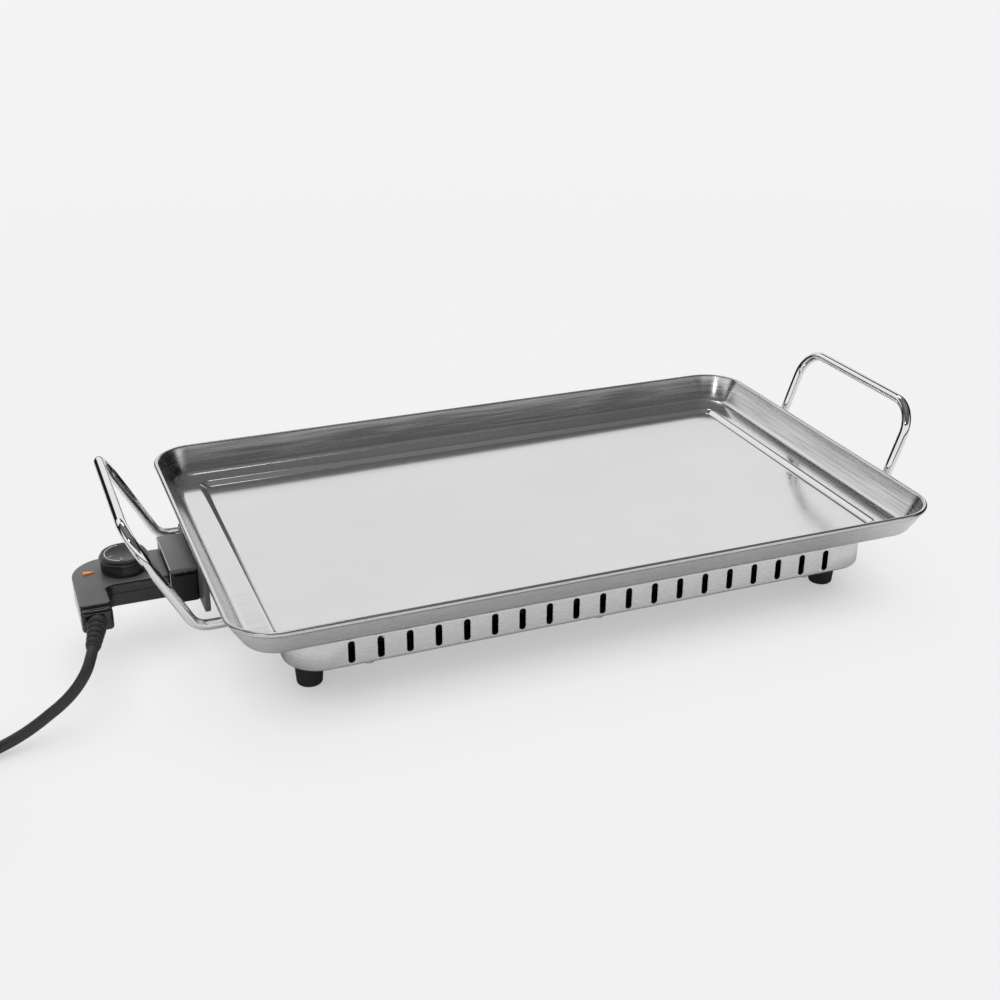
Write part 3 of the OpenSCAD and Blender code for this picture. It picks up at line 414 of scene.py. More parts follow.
def makeCord():
    route = cordRoute()
    curve = bpy.data.curves.new("mains_cord", "CURVE")
    curve.dimensions = "3D"
    curve.bevel_depth = cord["radius"] * mm
    curve.bevel_resolution = 5
    curve.resolution_u = 5
    curve.use_fill_caps = True
    line = curve.splines.new("BEZIER")
    line.bezier_points.add(len(route) - 1)
    for point, place in zip(line.bezier_points, route):
        point.co = atPan(*place)
        point.handle_left_type = point.handle_right_type = "AUTO"
    curve.materials.append(finishes["cordSkin"])
    piece = bpy.data.objects.new("mains_cord", curve)
    rootCollection.objects.link(piece)
    points = [atPan(*p) for p in route]
    length = sum((b - a).length for a, b in zip(points, points[1:]))
    print("cord length %.3f m" % length)
    return piece, length


cordPiece, cordLength = makeCord()
stand(cordPiece, "cord_rubber", "thermostat", "power_cord", "cord_coil", "cord_tail")

plug = {"start": cord["tail"][-1], "radius": 18, "length": 60, "pinPitch": 19,
        "pinR": 2.4, "pinStraight": 17.6}


def makePlug():
    bm = bmesh.new()
    place = alongAxis(atPan(*plug["start"]), (0, -1, 0))
    profile = [(3.6, 0), (4.5, 0.4)]
    for i in range(6):  # the moulded ribs of the plug's own relief
        h = 2 + 3.8 * i
        r = 4.6 + 0.42 * i
        profile += [(r, h), (r, h + 2.2), (r - 0.9, h + 2.5), (r - 0.9, h + 3.5)]
    r0 = plug["radius"]
    profile += [(10.2, 25.6), (11, 26.6), (r0 - 0.9, 37.2), (r0 - 0.2, 38.4), (r0, 39.6), (r0, 58.8),
                (r0 - 0.35, 59.6), (r0 - 1.2, plug["length"])]
    spun(bm, profile, place, 56)
    return newPiece("plug_moulding", bm, "cordSkin", 40)


plugPiece = makePlug()
stand(plugPiece, "cord_rubber", "thermostat", "plug_body")


def makePlugPins():
    bm = bmesh.new()
    x, y, z = plug["start"]
    r, straight = plug["pinR"], plug["pinStraight"]
    profile = [(r, 0), (r, straight)]
    profile += [(r * math.cos(a), straight + r * math.sin(a)) for a in (0.3, 0.6, 0.9, 1.2, 1.45)]
    for side in (-1, 1):  # the pins start 1 mm inside the plug's face
        root = atPan(x + side * plug["pinPitch"] / 2, y - plug["length"] + 1, z)
        spun(bm, profile, alongAxis(root, (0, -1, 0)), 24)
    return newPiece("plug_contacts", bm, "chrome", 40)


plugPins = makePlugPins()
stand(plugPins, "chrome", "thermostat", "plug_pins")


def makeTie():
    bm = bmesh.new()
    cx, cy = cord["coilMiddle"]
    a = math.radians(-60)
    r0, r1 = cord["coilInner"] - 4, cord["coilOuter"] + 3.7
    turn = Matrix.Translation(atPan(cx, cy, 0)) @ Matrix.Rotation(a, 4, "Z")
    outer = [(r0 - 0.9, 0.1), (r1 + 0.9, 0.1), (r1 + 0.9, 15.8), (r0 - 0.9, 15.8)]
    inner = [(r0, 1), (r1, 1), (r1, 15), (r0, 15)]
    rings = [[turn @ Vector((x * mm, y * mm, z * mm)) for x, z in loop]
             for y, loop in ((-4, outer), (4, outer), (4, inner), (-4, inner))]
    loft(bm, rings, closed=True)
    roundEdges(bm, 0.3, 2)
    return newPiece("cord_tie", bm, "rubber")


tiePiece = makeTie()
stand(tiePiece, "tie", "thermostat", "coil_tie")
print("cord, coil and plug made")


# the pan
def panRings():
    b = body
    rings = []

    def ring(inset, z, radius=None):
        r = b["rimR"] - inset if radius is None else radius
        rings.append(ringRound(b["halfX"] - inset, b["halfY"] - inset, r, z))

    floorIn = b["wallRun"] + b["ledgeW"]
    ledgeZ = b["floorZ"] + b["ledgeH"]
    footU = b["rimR"] - b["wallRun"]
    centreU, centreZ = footU, ledgeZ + b["bend"]
    underZ = b["floorZ"] - b["sheet"]
    # cooking surface and step, with small rolls at its foot and head
    for inset, rise in ((5.4, 0), (4.7, 0.06), (4.1, 0.28), (0.75, 2.5), (0.2, 2.82), (-0.4, 2.96), (-1.1, 3)):
        ring(floorIn + inset, b["floorZ"] + rise, b["stepR"] - inset)
    for u, z in arcPoints(centreU, centreZ, b["bend"], -90, b["wallAngle"] - 90, 7):
        ring(b["rimR"] - u, z)
    beadU, beadZ = b["rimR"] - b["beadR"], b["rimZ"] - b["beadR"]
    for u, z in arcPoints(beadU, beadZ, b["beadR"], 170, -62, 14):
        ring(b["rimR"] - u, z)
    for u, z in reversed(arcPoints(centreU, centreZ, b["bend"] + b["sheet"], -90, b["wallAngle"] - 90, 7)):
        ring(b["rimR"] - u, z)
    ring(floorIn, ledgeZ - b["sheet"], b["stepR"])
    ring(floorIn + b["stepRun"], underZ, b["stepR"] - b["stepRun"])
    return rings


def makePan():
    bm = bmesh.new()
    loft(bm, panRings(), caps=(True, True))
    pan = newPiece("cooking_pan", bm, "panSteel", 50)
    pan.data.materials.append(finishes["wallSteel"])
    for face in pan.data.polygons:
        aboveLedge = face.center.z > (body["floorZ"] + body["ledgeH"] + 0.3) * mm
        wall = abs(face.normal.z) < 0.94 and aboveLedge
        face.material_index = 1 if wall else 0
    return pan


stand(makePan(), "pan_steel", "griddle", "griddle_pan")


# the shell round the pan
def makeShell():
    b = body
    centreU, centreZ = b["rimR"] - b["wallRun"], b["floorZ"] + b["ledgeH"] + b["bend"]
    inner = b["bend"] + b["sheet"] + b["shellGap"]
    outer = inner + b["shellT"]
    slope, wall = math.radians(b["shellAngle"]), math.radians(b["wallAngle"])
    topZ = b["rimZ"] - 2 * b["beadR"] - 0.1

    def shellFoot(radius, z):
        u = centreU + radius * math.sin(slope)
        return u - (centreZ - radius * math.cos(slope) - z) / math.tan(slope)

    def shellTop(radius):
        u, z = centreU + radius * math.sin(wall), centreZ - radius * math.cos(wall)
        return u + (topZ - z) / math.tan(wall)

    z0, z1 = b["shellZ"], b["shellZ"] + b["shellT"]
    profile = [(shellFoot(outer, z0) - 2, z0), (shellFoot(outer, z0), z0 + 0.02)]
    profile += arcPoints(centreU, centreZ, outer, b["shellAngle"] - 90, b["wallAngle"] - 90, 8)
    profile += [(shellTop(outer), topZ), (shellTop(inner), topZ)]
    profile += arcPoints(centreU, centreZ, inner, b["wallAngle"] - 90, b["shellAngle"] - 90, 8)
    profile += [(shellFoot(inner, z1), z1), (shellFoot(inner, z1) - 1.7, z1)]
    middleX, middleY = b["halfX"] - b["rimR"], b["halfY"] - b["rimR"]
    rings = [ringRound(middleX + u, middleY + u, max(u, 2.5), z) for u, z in profile]
    # the flat underside runs in to the heater's opening
    rings = [ringRound(*b["opening"], z0)] + rings + [ringRound(*b["opening"], z1)]
    bm = bmesh.new()
    loft(bm, rings, closed=True)
    shell = newPiece("outer_shell", bm, "shellSteel", 40)
    cutter = bmesh.new()
    boxAt(cutter, *b["socketGap"])
    cutAway(shell, newPiece("cutter", cutter, "zinc"))
    return shell


def cutAway(piece, tool):
    cut = piece.modifiers.new("cut", "BOOLEAN")
    cut.operation = "DIFFERENCE"
    cut.solver = "EXACT"
    cut.object = tool
    applyModifiers(piece)
    bpy.data.objects.remove(tool)


def applyModifiers(piece, angle=32):
    graph = bpy.context.evaluated_depsgraph_get()
    graph.update()
    mesh = bpy.data.meshes.new_from_object(piece.evaluated_get(graph))
    piece.modifiers.clear()
    piece.data = mesh
    finishMesh(mesh, angle)


stand(makeShell(), "brushed_steel", "griddle", "body_shell")
print("pan and shell made")


# the slotted base frame
slots = {"count": 19, "pitch": 19.2, "width": 4.6, "height": 15.5, "corner": 2.1, "middleZ": 34.85,
         "depth": 6}


def slotCutter():
    bm = bmesh.new()
    outline = roundOutline(slots["width"] / 2, slots["height"] / 2, slots["corner"], 5)
    deep = slots["depth"] / 2
    prism(bm, *([Vector((x, y, z)) * mm for x, z in outline] for y in (-deep, deep)))
    return newPiece("slotCutter", bm, "frameSteel")


def newTree(name, **inputs):
    # a geometry tree, and the keys that set its inputs on a modifier
    tree = bpy.data.node_groups.new(name, "GeometryNodeTree")
    keys = {}
    for label, kind in {"Geometry": "Geometry", **inputs}.items():
        socket = tree.interface.new_socket(label, in_out="INPUT", socket_type="NodeSocket" + kind)
        keys[label] = socket.identifier
    tree.interface.new_socket("Geometry", in_out="OUTPUT", socket_type="NodeSocketGeometry")
    return tree, keys, tree.nodes.new("NodeGroupInput"), tree.nodes.new("NodeGroupOutput")


def applyTree(piece, tree, keys, angle=32, **values):
    modifier = piece.modifiers.new(tree.name, "NODES")
    modifier.node_group = tree
    for label, value in values.items():
        modifier[keys[label]] = value
    applyModifiers(piece, angle)


def slotTree():
    # cuts a row of slots through each long face
    tree, keys, start, end = newTree("slotRows", Slot="Object", Count="Int", Start="Vector", Step="Vector",
                                     Across="Vector", Finish="Material")
    row = addNode(tree, "GeometryNodeMeshLine", mode="OFFSET")
    info = addNode(tree, "GeometryNodeObjectInfo")
    placed = addNode(tree, "GeometryNodeInstanceOnPoints")
    other = addNode(tree, "GeometryNodeTransform")
    both = addNode(tree, "GeometryNodeJoinGeometry")
    real = addNode(tree, "GeometryNodeRealizeInstances")
    cut = addNode(tree, "GeometryNodeMeshBoolean", operation="DIFFERENCE", solver="EXACT")
    paint = addNode(tree, "GeometryNodeSetMaterial")
    link = tree.links.new
    link(start.outputs["Count"], row.inputs["Count"])
    link(start.outputs["Start"], row.inputs["Start Location"])
    link(start.outputs["Step"], row.inputs["Offset"])
    link(start.outputs["Slot"], info.inputs["Object"])
    link(row.outputs["Mesh"], placed.inputs["Points"])
    link(info.outputs["Geometry"], placed.inputs["Instance"])
    link(placed.outputs["Instances"], other.inputs["Geometry"])
    link(start.outputs["Across"], other.inputs["Translation"])
    link(placed.outputs["Instances"], both.inputs["Geometry"])
    link(other.outputs["Geometry"], both.inputs["Geometry"])
    link(both.outputs["Geometry"], real.inputs["Geometry"])
    link(start.outputs["Geometry"], cut.inputs["Mesh 1"])
    link(real.outputs["Geometry"], cut.inputs["Mesh 2"])
    link(cut.outputs["Mesh"], paint.inputs["Geometry"])
    link(start.outputs["Finish"], paint.inputs["Material"])
    link(paint.outputs["Geometry"], end.inputs["Geometry"])
    return tree, keys


def makeFrame():
    b = body
    x, y, r = b["frameX"], b["frameY"], b["frameR"]
    z0, z1, t, lip = b["frameZ"], b["shellZ"], b["shellT"], 12
    rings = []
    for inset, z in ((lip, z0), (1.6, z0), (0.75, z0 + 0.25), (0.2, z0 + 0.8), (0, z0 + 1.6),
                     (0, z1 - 1.2), (0.3, z1 - 0.4), (1.0, z1), (lip, z1), (lip, z1 - t),
                     (t, z1 - t), (t, z0 + t), (lip, z0 + t)):
        rings.append(ringRound(x - inset, y - inset, r - inset, z))
    bm = bmesh.new()
    loft(bm, rings, closed=True)
    piece = newPiece("slotted_frame", bm, "frameSteel")
    cutter = slotCutter()
    half = (slots["count"] - 1) / 2 * slots["pitch"]
    applyTree(piece, *slotTree(), Slot=cutter, Count=slots["count"], Start=atPan(-half, -y, slots["middleZ"]),
              Step=(slots["pitch"] * mm, 0, 0), Across=(0, 2 * y * mm, 0), Finish=finishes["frameSteel"])
    bpy.data.objects.remove(cutter)
    return piece


stand(makeFrame(), "brushed_steel", "griddle", "base_frame")
print("slotted frame made")

# feet
foot = {"x": 193, "y": 96, "top": 10, "tip": 8.5, "height": 23.5}


def makeFoot(name, sx, sy):
    bm = bmesh.new()
    place = Matrix.Translation(atPan(sx * foot["x"], sy * foot["y"], 0))
    profile = [(4.5, 5.5), (4.5, 0.5), (5, 0)] + arcPoints(foot["tip"] - 1.5, 1.5, 1.5, -90, 0, 5)
    profile += [(foot["top"] - 0.1, foot["height"] - 3.2), (foot["top"], foot["height"] - 2.8),
                (foot["top"], foot["height"] - 0.3), (foot["top"] - 0.3, foot["height"])]
    spun(bm, profile, place, 40)
    return newPiece(name, bm, "rubber")


for name, sx, sy in (("foot_front_left", -1, -1), ("foot_front_right", 1, -1),
                     ("foot_back_left", -1, 1), ("foot_back_right", 1, 1)):
    stand(makeFoot("rubber_" + name, sx, sy), "foot_rubber", "griddle", name)

# wire handles; left and right give how far out a handle stands and how far it leans
handle = {"radius": 3.5, "half": 71, "legZ": 40.5, "inner": 197.5, "rise": 79, "turn": 13, "corner": 22,
          "left": (8, 28), "right": (2, 19.5)}


def bendPoints(before, after, corner, radius, steps):
    u, v = Vector(before).normalized(), Vector(after).normalized()
    angle = math.acos(max(-1, min(1, u.dot(v))))
    middle = (v - u).normalized()
    centre = Vector(corner) + middle * radius / math.cos(angle / 2)
    side = (u + v).normalized()
    return [centre - radius * (math.cos(t) * middle - math.sin(t) * side)
            for t in (-angle / 2 + angle * i / steps for i in range(steps + 1))]


def sweptTube(bm, points, radius, sides=24):
    tangents = [(points[min(i + 1, len(points) - 1)] - points[max(i - 1, 0)]).normalized()
                for i in range(len(points))]
    side = tangents[0].cross(Vector((0, 1, 0)))
    rings = []
    for point, tangent in zip(points, tangents):
        side = (side - side.dot(tangent) * tangent).normalized()
        up = side.cross(tangent)
        rings.append([point + radius * (math.cos(2 * math.pi * k / sides) * side
                                        + math.sin(2 * math.pi * k / sides) * up) for k in range(sides)])
    loft(bm, rings, caps=(True, True))


def makeHandle(name, sign, out, lean):
    a = math.radians(lean)
    rise = Vector((math.sin(a), 0, math.cos(a)))
    low = Vector((body["halfX"] + out, handle["half"], handle["legZ"]))
    path = [Vector((handle["inner"], handle["half"], handle["legZ"]))]
    path += bendPoints((1, 0, 0), rise, low, handle["turn"], 14)
    path += bendPoints(rise, (0, -1, 0), low + handle["rise"] * rise, handle["corner"], 18)
    path += [Vector((p.x, -p.y, p.z)) for p in reversed(path)]
    bm = bmesh.new()
    sweptTube(bm, [atPan(sign * p.x, p.y, p.z) for p in path], handle["radius"] * mm)
    return newPiece(name, bm, "chrome", 60)


stand(makeHandle("chrome_handle_left", -1, *handle["left"]), "chrome", "griddle", "handle_left")
stand(makeHandle("chrome_handle_right", 1, *handle["right"]), "chrome", "griddle", "handle_right")
print("feet and handles made")

# socket: plate, block and shroud
socket = {"plateX": -247.5, "plateT": 3.5, "plateHalf": 47, "plateCorner": 5, "bottom": 34.5, "plateTop": 60,
          "block": ((-244.2, -25, 36), (-211.6, 25, 48.5)), "flange": ((-214.6, -39, 27.5), (-211.6, 39, 43.2)),
          "shroudEnd": -265.5, "shroudHalf": 27, "top": 60.5, "lid": 3, "highlightLine": 0.45,
          "noseHalf": 19.5, "noseLow": 38, "noseHigh": 53.5, "noseReach": (-262, -241.5)}


def makePlate():
    s = socket
    bm = bmesh.new()
    middle, half = (s["plateTop"] + s["bottom"]) / 2, (s["plateTop"] - s["bottom"]) / 2
    outline = roundOutline(s["plateHalf"], half, s["plateCorner"], 6, middle)
    prism(bm, *([atPan(x, y, z) for y, z in outline] for x in (s["plateX"], s["plateX"] + s["plateT"])))
    roundEdges(bm, 0.6, 3, 60)
    boxAt(bm, *s["block"])
    boxAt(bm, *s["flange"])
    return newPiece("mount_plate", bm, "litDarkPlastic")


platePiece = makePlate()
noseCut = bmesh.new()
boxAt(noseCut, (socket["noseReach"][0], -socket["noseHalf"], socket["noseLow"]),
      (socket["noseReach"][1], socket["noseHalf"], socket["noseHigh"]))
cutAway(platePiece, newPiece("cutter", noseCut, "litDarkPlastic"))
stand(platePiece, "dark_plastic", "griddle", "socket_mount")


def makeShroud():
    s = socket
    bm = bmesh.new()
    boxAt(bm, (s["shroudEnd"] + 0.05, -s["shroudHalf"] + 1.5, s["bottom"]),
          (s["plateX"] - 0.05, s["shroudHalf"] - 1.5, s["top"] - s["lid"] + 0.2))
    roundEdges(bm, 1.2, 3, 60)
    shroud = newPiece("plug_shroud", bm, "blackPlastic")
    mouth = ((s["shroudEnd"] - 4.5, -s["noseHalf"], s["noseLow"]),
             (s["plateX"] + 7.5, s["noseHalf"], s["noseHigh"]))
    recess = ((s["shroudEnd"] + 3, -s["shroudHalf"] - 1, s["top"] - 6),
              (s["plateX"] - 1.5, -s["shroudHalf"] + 3, s["top"] - s["lid"]))
    for low, high in (mouth, recess):
        cutter = bmesh.new()
        boxAt(cutter, low, high)
        cutAway(shroud, newPiece("cutter", cutter, "blackPlastic"))
    return shroud


def makeShroudLid():
    # painted light: the lid takes the lighter grey plastic to stand in for the light on its top, while the
    # shroud below it is black
    s = socket
    bm = bmesh.new()
    boxAt(bm, (s["shroudEnd"], -s["shroudHalf"], s["top"] - s["lid"]),
          (s["plateX"] - 0.05, s["shroudHalf"], s["top"]))
    roundEdges(bm, 0.7, 3, 60)
    return newPiece("shroud_lid", bm, "litDarkPlastic")


stand(makeShroud(), "black_plastic", "griddle", "socket_shroud")
stand(makeShroudLid(), "dark_plastic", "griddle")


def makeShroudHighlight():
    # a painted highlight: thin pale grey strips along the top and the front corner of the moulding's open end
    # stand in for light catching its edges
    s = socket
    bm = bmesh.new()
    boxAt(bm, (s["shroudEnd"] - 0.04, -s["shroudHalf"] + 0.6, s["top"] - 0.75),
          (s["shroudEnd"] + s["highlightLine"], s["shroudHalf"] - 0.6, s["top"] + 0.03))
    boxAt(bm, (s["shroudEnd"] - 0.04, -s["shroudHalf"] + 1.42, s["bottom"] + 1),
          (s["shroudEnd"] + s["highlightLine"], -s["shroudHalf"] + 2, s["top"] - s["lid"]))
    return newPiece("shroud_edge", bm, "highlightGrey")


stand(makeShroudHighlight(), "dark_plastic", "griddle")
print("socket made")

# thermostat connector
unit = {"neckHalf": 21, "low": 37.5, "high": 54, "split": 47.2, "start": -265.8, "elbowX": -301.5,
        "elbowY": -3, "elbowR": 24, "armIn": -306.5, "armOut": -325.5, "armEnd": -51,
        "tongueHalf": 19, "tongueLow": 38.5, "tongueHigh": 53, "tongueEnd": -243, "blockTop": 52.6}


def unitOutline(armEnd):
    u = unit
    armFillet = 6
    outline = [(u["start"], -u["neckHalf"]), (u["start"], u["neckHalf"]), (u["elbowX"], u["neckHalf"])]
    outline += arcPoints(u["elbowX"], u["elbowY"], u["elbowR"], 90, 180, 12)[1:]
    outline += arcPoints(u["armOut"] + 2.5, armEnd + 2.5, 2.5, 180, 270, 4)
    outline += arcPoints(u["armIn"] - 2.5, armEnd + 2.5, 2.5, 270, 360, 4)
    outline += arcPoints(u["armIn"] + armFillet, -u["neckHalf"] - armFillet, armFillet, 180, 90, 6)
    return outline


def onFrontEdge(edge):
    # the neck's front edge and the inner corner of the elbow, which are rounder than the rest
    spot = (edge.verts[0].co + edge.verts[1].co) / 2
    x, y = spot.x / mm - panX, spot.y / mm
    return -307 < x < unit["start"] - 1 and -28 < y < -20.5


def roundHousing(bm, level, radius, frontRadius):
    def onLevel(edge):
        inward = all(v.co.x < (unit["start"] + panX - 0.2) * mm for v in edge.verts)
        return inward and all(abs(v.co.z - level * mm) < 1e-5 for v in edge.verts)

    def isEdge(edge):
        spot = (edge.verts[0].co + edge.verts[1].co) / 2
        inward = spot.x < (unit["start"] + panX - 0.2) * mm
        return onLevel(edge) or (abs(spot.z - level * mm) < 1e-5 and inward)

    roundEdges(bm, frontRadius, 6, 60, lambda e: isEdge(e) and onFrontEdge(e))
    roundEdges(bm, radius, 3, 60, lambda e: isEdge(e) and not onFrontEdge(e))


def makeUpperHousing():
    bm = bmesh.new()
    extruded(bm, unitOutline(unit["armEnd"] + 7), unit["split"] + 0.25, unit["high"])
    roundHousing(bm, unit["high"], 0.9, 4.5)
    boxAt(bm, (-262, -unit["tongueHalf"], unit["split"] + 0.1),
          (unit["tongueEnd"], unit["tongueHalf"], unit["tongueHigh"]))
    housing = newPiece("housing_top", bm, "litDarkPlastic", 40)
    housing.data.materials.append(finishes["glossBlack"])
    for face in housing.data.polygons:  # painted light: lighter grey on top for the top light, polished black down the sides
        face.material_index = 0 if face.normal.z > 0.9 else 1
    return housing


def makeLowerHousing():
    bm = bmesh.new()
    extruded(bm, unitOutline(unit["armEnd"] + 7), unit["low"], unit["split"] - 0.1)
    roundHousing(bm, unit["low"], 1.6, 3)
    boxAt(bm, (-266.5, -unit["tongueHalf"], unit["tongueLow"]),
          (unit["tongueEnd"], unit["tongueHalf"], unit["split"] - 0.1))
    housing = newPiece("housing_bottom", bm, "glossBlack", 40)
    end = bmesh.new()  # the rounder block that holds the cord's relief
    boxAt(end, (unit["armOut"] - 0.3, unit["armEnd"], unit["low"]),
          (unit["armIn"] + 0.6, unit["armEnd"] + 9, unit["blockTop"]))
    roundEdges(end, 2.6, 5, 60)
    block = newPiece("relief_block", end, "glossBlack", 40)
    stand(block, "black_plastic", "thermostat")
    return housing


stand(makeUpperHousing(), "dark_plastic", "thermostat", "upper_housing")
stand(makeLowerHousing(), "black_plastic", "thermostat", "lower_housing")


lens = {"x": -314.5, "half": 3.5, "wide": 1.7, "narrow": 0.45, "base": 52.5, "high": 55.5, "low": 54.6}


def wedge(grow, highTop, lowTop, name, finish):
    # a three-sided bar, thick at the housing's outer side and thin toward the dial
    bm = bmesh.new()
    x0, x1 = lens["x"] - lens["half"] - grow, lens["x"] + lens["half"] + grow
    w0, w1 = lens["wide"] + grow, lens["narrow"] + grow
    plan = ((x0, -w0, highTop), (x1, w0 - 2 * w1, lowTop), (x1, w0, lowTop), (x0, w0, highTop))
    prism(bm, [atPan(*spot) for spot in plan], [atPan(x, y, lens["base"]) for x, y, z in plan])
    roundEdges(bm, 0.2, 3)
    return newPiece(name, bm, finish)


rimTop = lens["low"] - 0.25
stand(wedge(0.35, rimTop, rimTop, "lamp_rim", "redRim"), "amber_lens", "thermostat")
window = wedge(0, lens["high"], lens["low"], "lamp_window", "amber")
stand(window, "amber_lens", "thermostat", "indicator_lens")

relief = {"x": -316, "z": 46, "collar": 4.95, "collarLength": 6.5, "length": 25, "base": 6.2,
          "tip": 4.5, "ribs": 5, "turn": 16, "drop": 10}


def makeRelief():
    start = atPan(relief["x"], unit["armEnd"] - 2.2, relief["z"])
    inside = atPan(relief["x"], unit["armEnd"] + 3.9, relief["z"])
    turn, drop = math.radians(relief["turn"]), math.radians(relief["drop"])
    way = Vector((-math.sin(turn) * math.cos(drop), -math.cos(turn) * math.cos(drop), -math.sin(drop)))
    bm = bmesh.new()
    collar = [(relief["collar"], h) for h in (0, relief["collarLength"])]
    spun(bm, collar, alongAxis(inside, (0, -1, 0)), 40)
    profile = [(relief["base"] - 0.5, 0), (relief["base"], 0.5)]
    pitch = (relief["length"] - 2) / relief["ribs"]
    for i in range(relief["ribs"]):
        h = 1 + pitch * i
        r = relief["base"] + (relief["tip"] - relief["base"]) * h / relief["length"]
        groove = r - 1.1
        end = h + pitch
        profile += [(r, h + 0.4), (r - 0.05, end - 1.9), (r - 0.3, end - 1.6), (groove, end - 1.4),
                    (groove - 0.05, end - 0.5), (r - 0.6, end - 0.2)]
    profile += [(relief["tip"] - 0.2, relief["length"] - 0.6), (relief["tip"] - 0.8, relief["length"])]
    spun(bm, profile, alongAxis(start, way), 40)
    return newPiece("cord_relief", bm, "cordSkin", 45)


stand(makeRelief(), "cord_rubber", "thermostat", "strain_relief")
print("connector made")

# the dial
dial = {"x": -291, "low": 54.4, "height": 11.6, "radius": 16, "ribs": 72, "ribR": 0.4,
        "line": (11.9, 12.8, 100, 252), "mark": (1.5, 2.7, 0, 360), "markPlace": (9.9, 3.6),
        "numberR": 9.6, "numberSize": 3.6, "firstNumber": 200, "numberStep": 55}


def ribTree():
    # upright ribs round a knob
    tree, keys, start, end = newTree("knobRibs", Count="Int", Radius="Float", Rib="Float", Height="Float",
                                     Place="Vector", Finish="Material")
    ring = addNode(tree, "GeometryNodeMeshCircle")
    rib = addNode(tree, "GeometryNodeMeshCylinder")
    rib.inputs["Vertices"].default_value = 8
    placed = addNode(tree, "GeometryNodeInstanceOnPoints")
    real = addNode(tree, "GeometryNodeRealizeInstances")
    moved = addNode(tree, "GeometryNodeTransform")
    joined = addNode(tree, "GeometryNodeJoinGeometry")
    paint = addNode(tree, "GeometryNodeSetMaterial")
    link = tree.links.new
    link(start.outputs["Count"], ring.inputs["Vertices"])
    link(start.outputs["Radius"], ring.inputs["Radius"])
    link(start.outputs["Rib"], rib.inputs["Radius"])
    link(start.outputs["Height"], rib.inputs["Depth"])
    link(ring.outputs["Mesh"], placed.inputs["Points"])
    link(rib.outputs["Mesh"], placed.inputs["Instance"])
    link(placed.outputs["Instances"], moved.inputs["Geometry"])
    link(start.outputs["Place"], moved.inputs["Translation"])
    link(moved.outputs["Geometry"], joined.inputs["Geometry"])
    link(start.outputs["Geometry"], joined.inputs["Geometry"])
    link(joined.outputs["Geometry"], real.inputs["Geometry"])
    link(real.outputs["Geometry"], paint.inputs["Geometry"])
    link(start.outputs["Finish"], paint.inputs["Material"])
    link(paint.outputs["Geometry"], end.inputs["Geometry"])
    return tree, keys


def makeKnob():
    r, h = dial["radius"], dial["height"]
    place = Matrix.Translation(atPan(dial["x"], 0, dial["low"]))
    bm = bmesh.new()
    spun(bm, [(r - 1.6, 0), (r - 1.1, 0.3), (r - 1.1, h - 4.4), (r - 0.4, h - 4.2), (r, h - 3.7), (r, h - 2.3),
              (r - 0.4, h - 1.9), (r - 1.1, h - 1.75), (r - 1.3, h - 1.75)], place, 96)
    piece = newPiece("dial_grip", bm, "glossBlack", 45)
    middle = atPan(dial["x"], 0, dial["low"] + (h - 4.4) / 2 + 0.2)
    applyTree(piece, *ribTree(), 45, Count=dial["ribs"], Radius=(r - 1.05) * mm, Rib=dial["ribR"] * mm,
              Height=(h - 5.2) * mm, Place=middle, Finish=finishes["glossBlack"])
    return piece


def makeCap():
    r, h = dial["radius"] - 1.2, dial["height"]
    place = Matrix.Translation(atPan(dial["x"], 0, dial["low"]))
    bm = bmesh.new()
    profile = [(r, h - 1.6), (r, h - 0.5), (r - 0.15, h - 0.15), (r - 0.5, h), (r - 2.2, h),
               (r - 2.5, h - 0.12)]
    spun(bm, profile, place, 96)
    return newPiece("dial_disc", bm, "discPlastic", 50)


def flatArc(name, inner, outer, start, end, z, finish, offset=(0, 0)):
    # a thin printed band on the dial
    bm = bmesh.new()
    steps = 40
    rows = []
    for radius in (inner, outer):
        for level in (z, z + 0.04):
            spots = arcPoints(dial["x"] + offset[0], offset[1], radius, start, end, steps)
            rows.append([bm.verts.new(atPan(x, y, level)) for x, y in spots])
    lowIn, highIn, lowOut, highOut = rows
    for i in range(steps):
        for a, b in ((lowIn, lowOut), (lowOut, highOut), (highOut, highIn), (highIn, lowIn)):
            bm.faces.new((a[i], a[i + 1], b[i + 1], b[i]))
    for i in ((0, steps) if end - start < 360 else ()):
        bm.faces.new((lowIn[i], lowOut[i], highOut[i], highIn[i]))
    return newPiece(name, bm, finish)


def makeNumbers(z):
    meshes = []
    for k, word in enumerate(("1", "2", "3", "4", "5")):
        text = bpy.data.curves.new("number", "FONT")
        text.body = word
        text.size = dial["numberSize"] * mm
        text.extrude = 0.02 * mm
        text.align_x = "CENTER"
        text.align_y = "CENTER"
        holder = bpy.data.objects.new("number", text)
        rootCollection.objects.link(holder)
        graph = bpy.context.evaluated_depsgraph_get()
        mesh = bpy.data.meshes.new_from_object(holder.evaluated_get(graph))
        a = math.radians(dial["firstNumber"] + dial["numberStep"] * k)
        spot = atPan(dial["x"] + dial["numberR"] * math.cos(a), dial["numberR"] * math.sin(a), z)
        mesh.transform(Matrix.Translation(spot) @ Matrix.Rotation(a + math.pi / 2, 4, "Z"))
        meshes.append(mesh)
        bpy.data.objects.remove(holder)
    bm = bmesh.new()
    for mesh in meshes:
        bm.from_mesh(mesh)
    return newPiece("dial_numbers", bm, "ink", 30, False)


capTop = dial["low"] + dial["height"] - 0.12
stand(makeKnob(), "black_plastic", "dial", "dial_knob")
stand(makeCap(), "dark_plastic", "dial", "dial_cap")
stand(flatArc("dial_line", *dial["line"], capTop, "ink"), "dark_plastic", "dial")
stand(makeNumbers(capTop + 0.05), "dark_plastic", "dial")
stand(flatArc("dial_mark", *dial["mark"], capTop, "greenInk", dial["markPlace"]), "dark_plastic", "dial")
print("dial made")


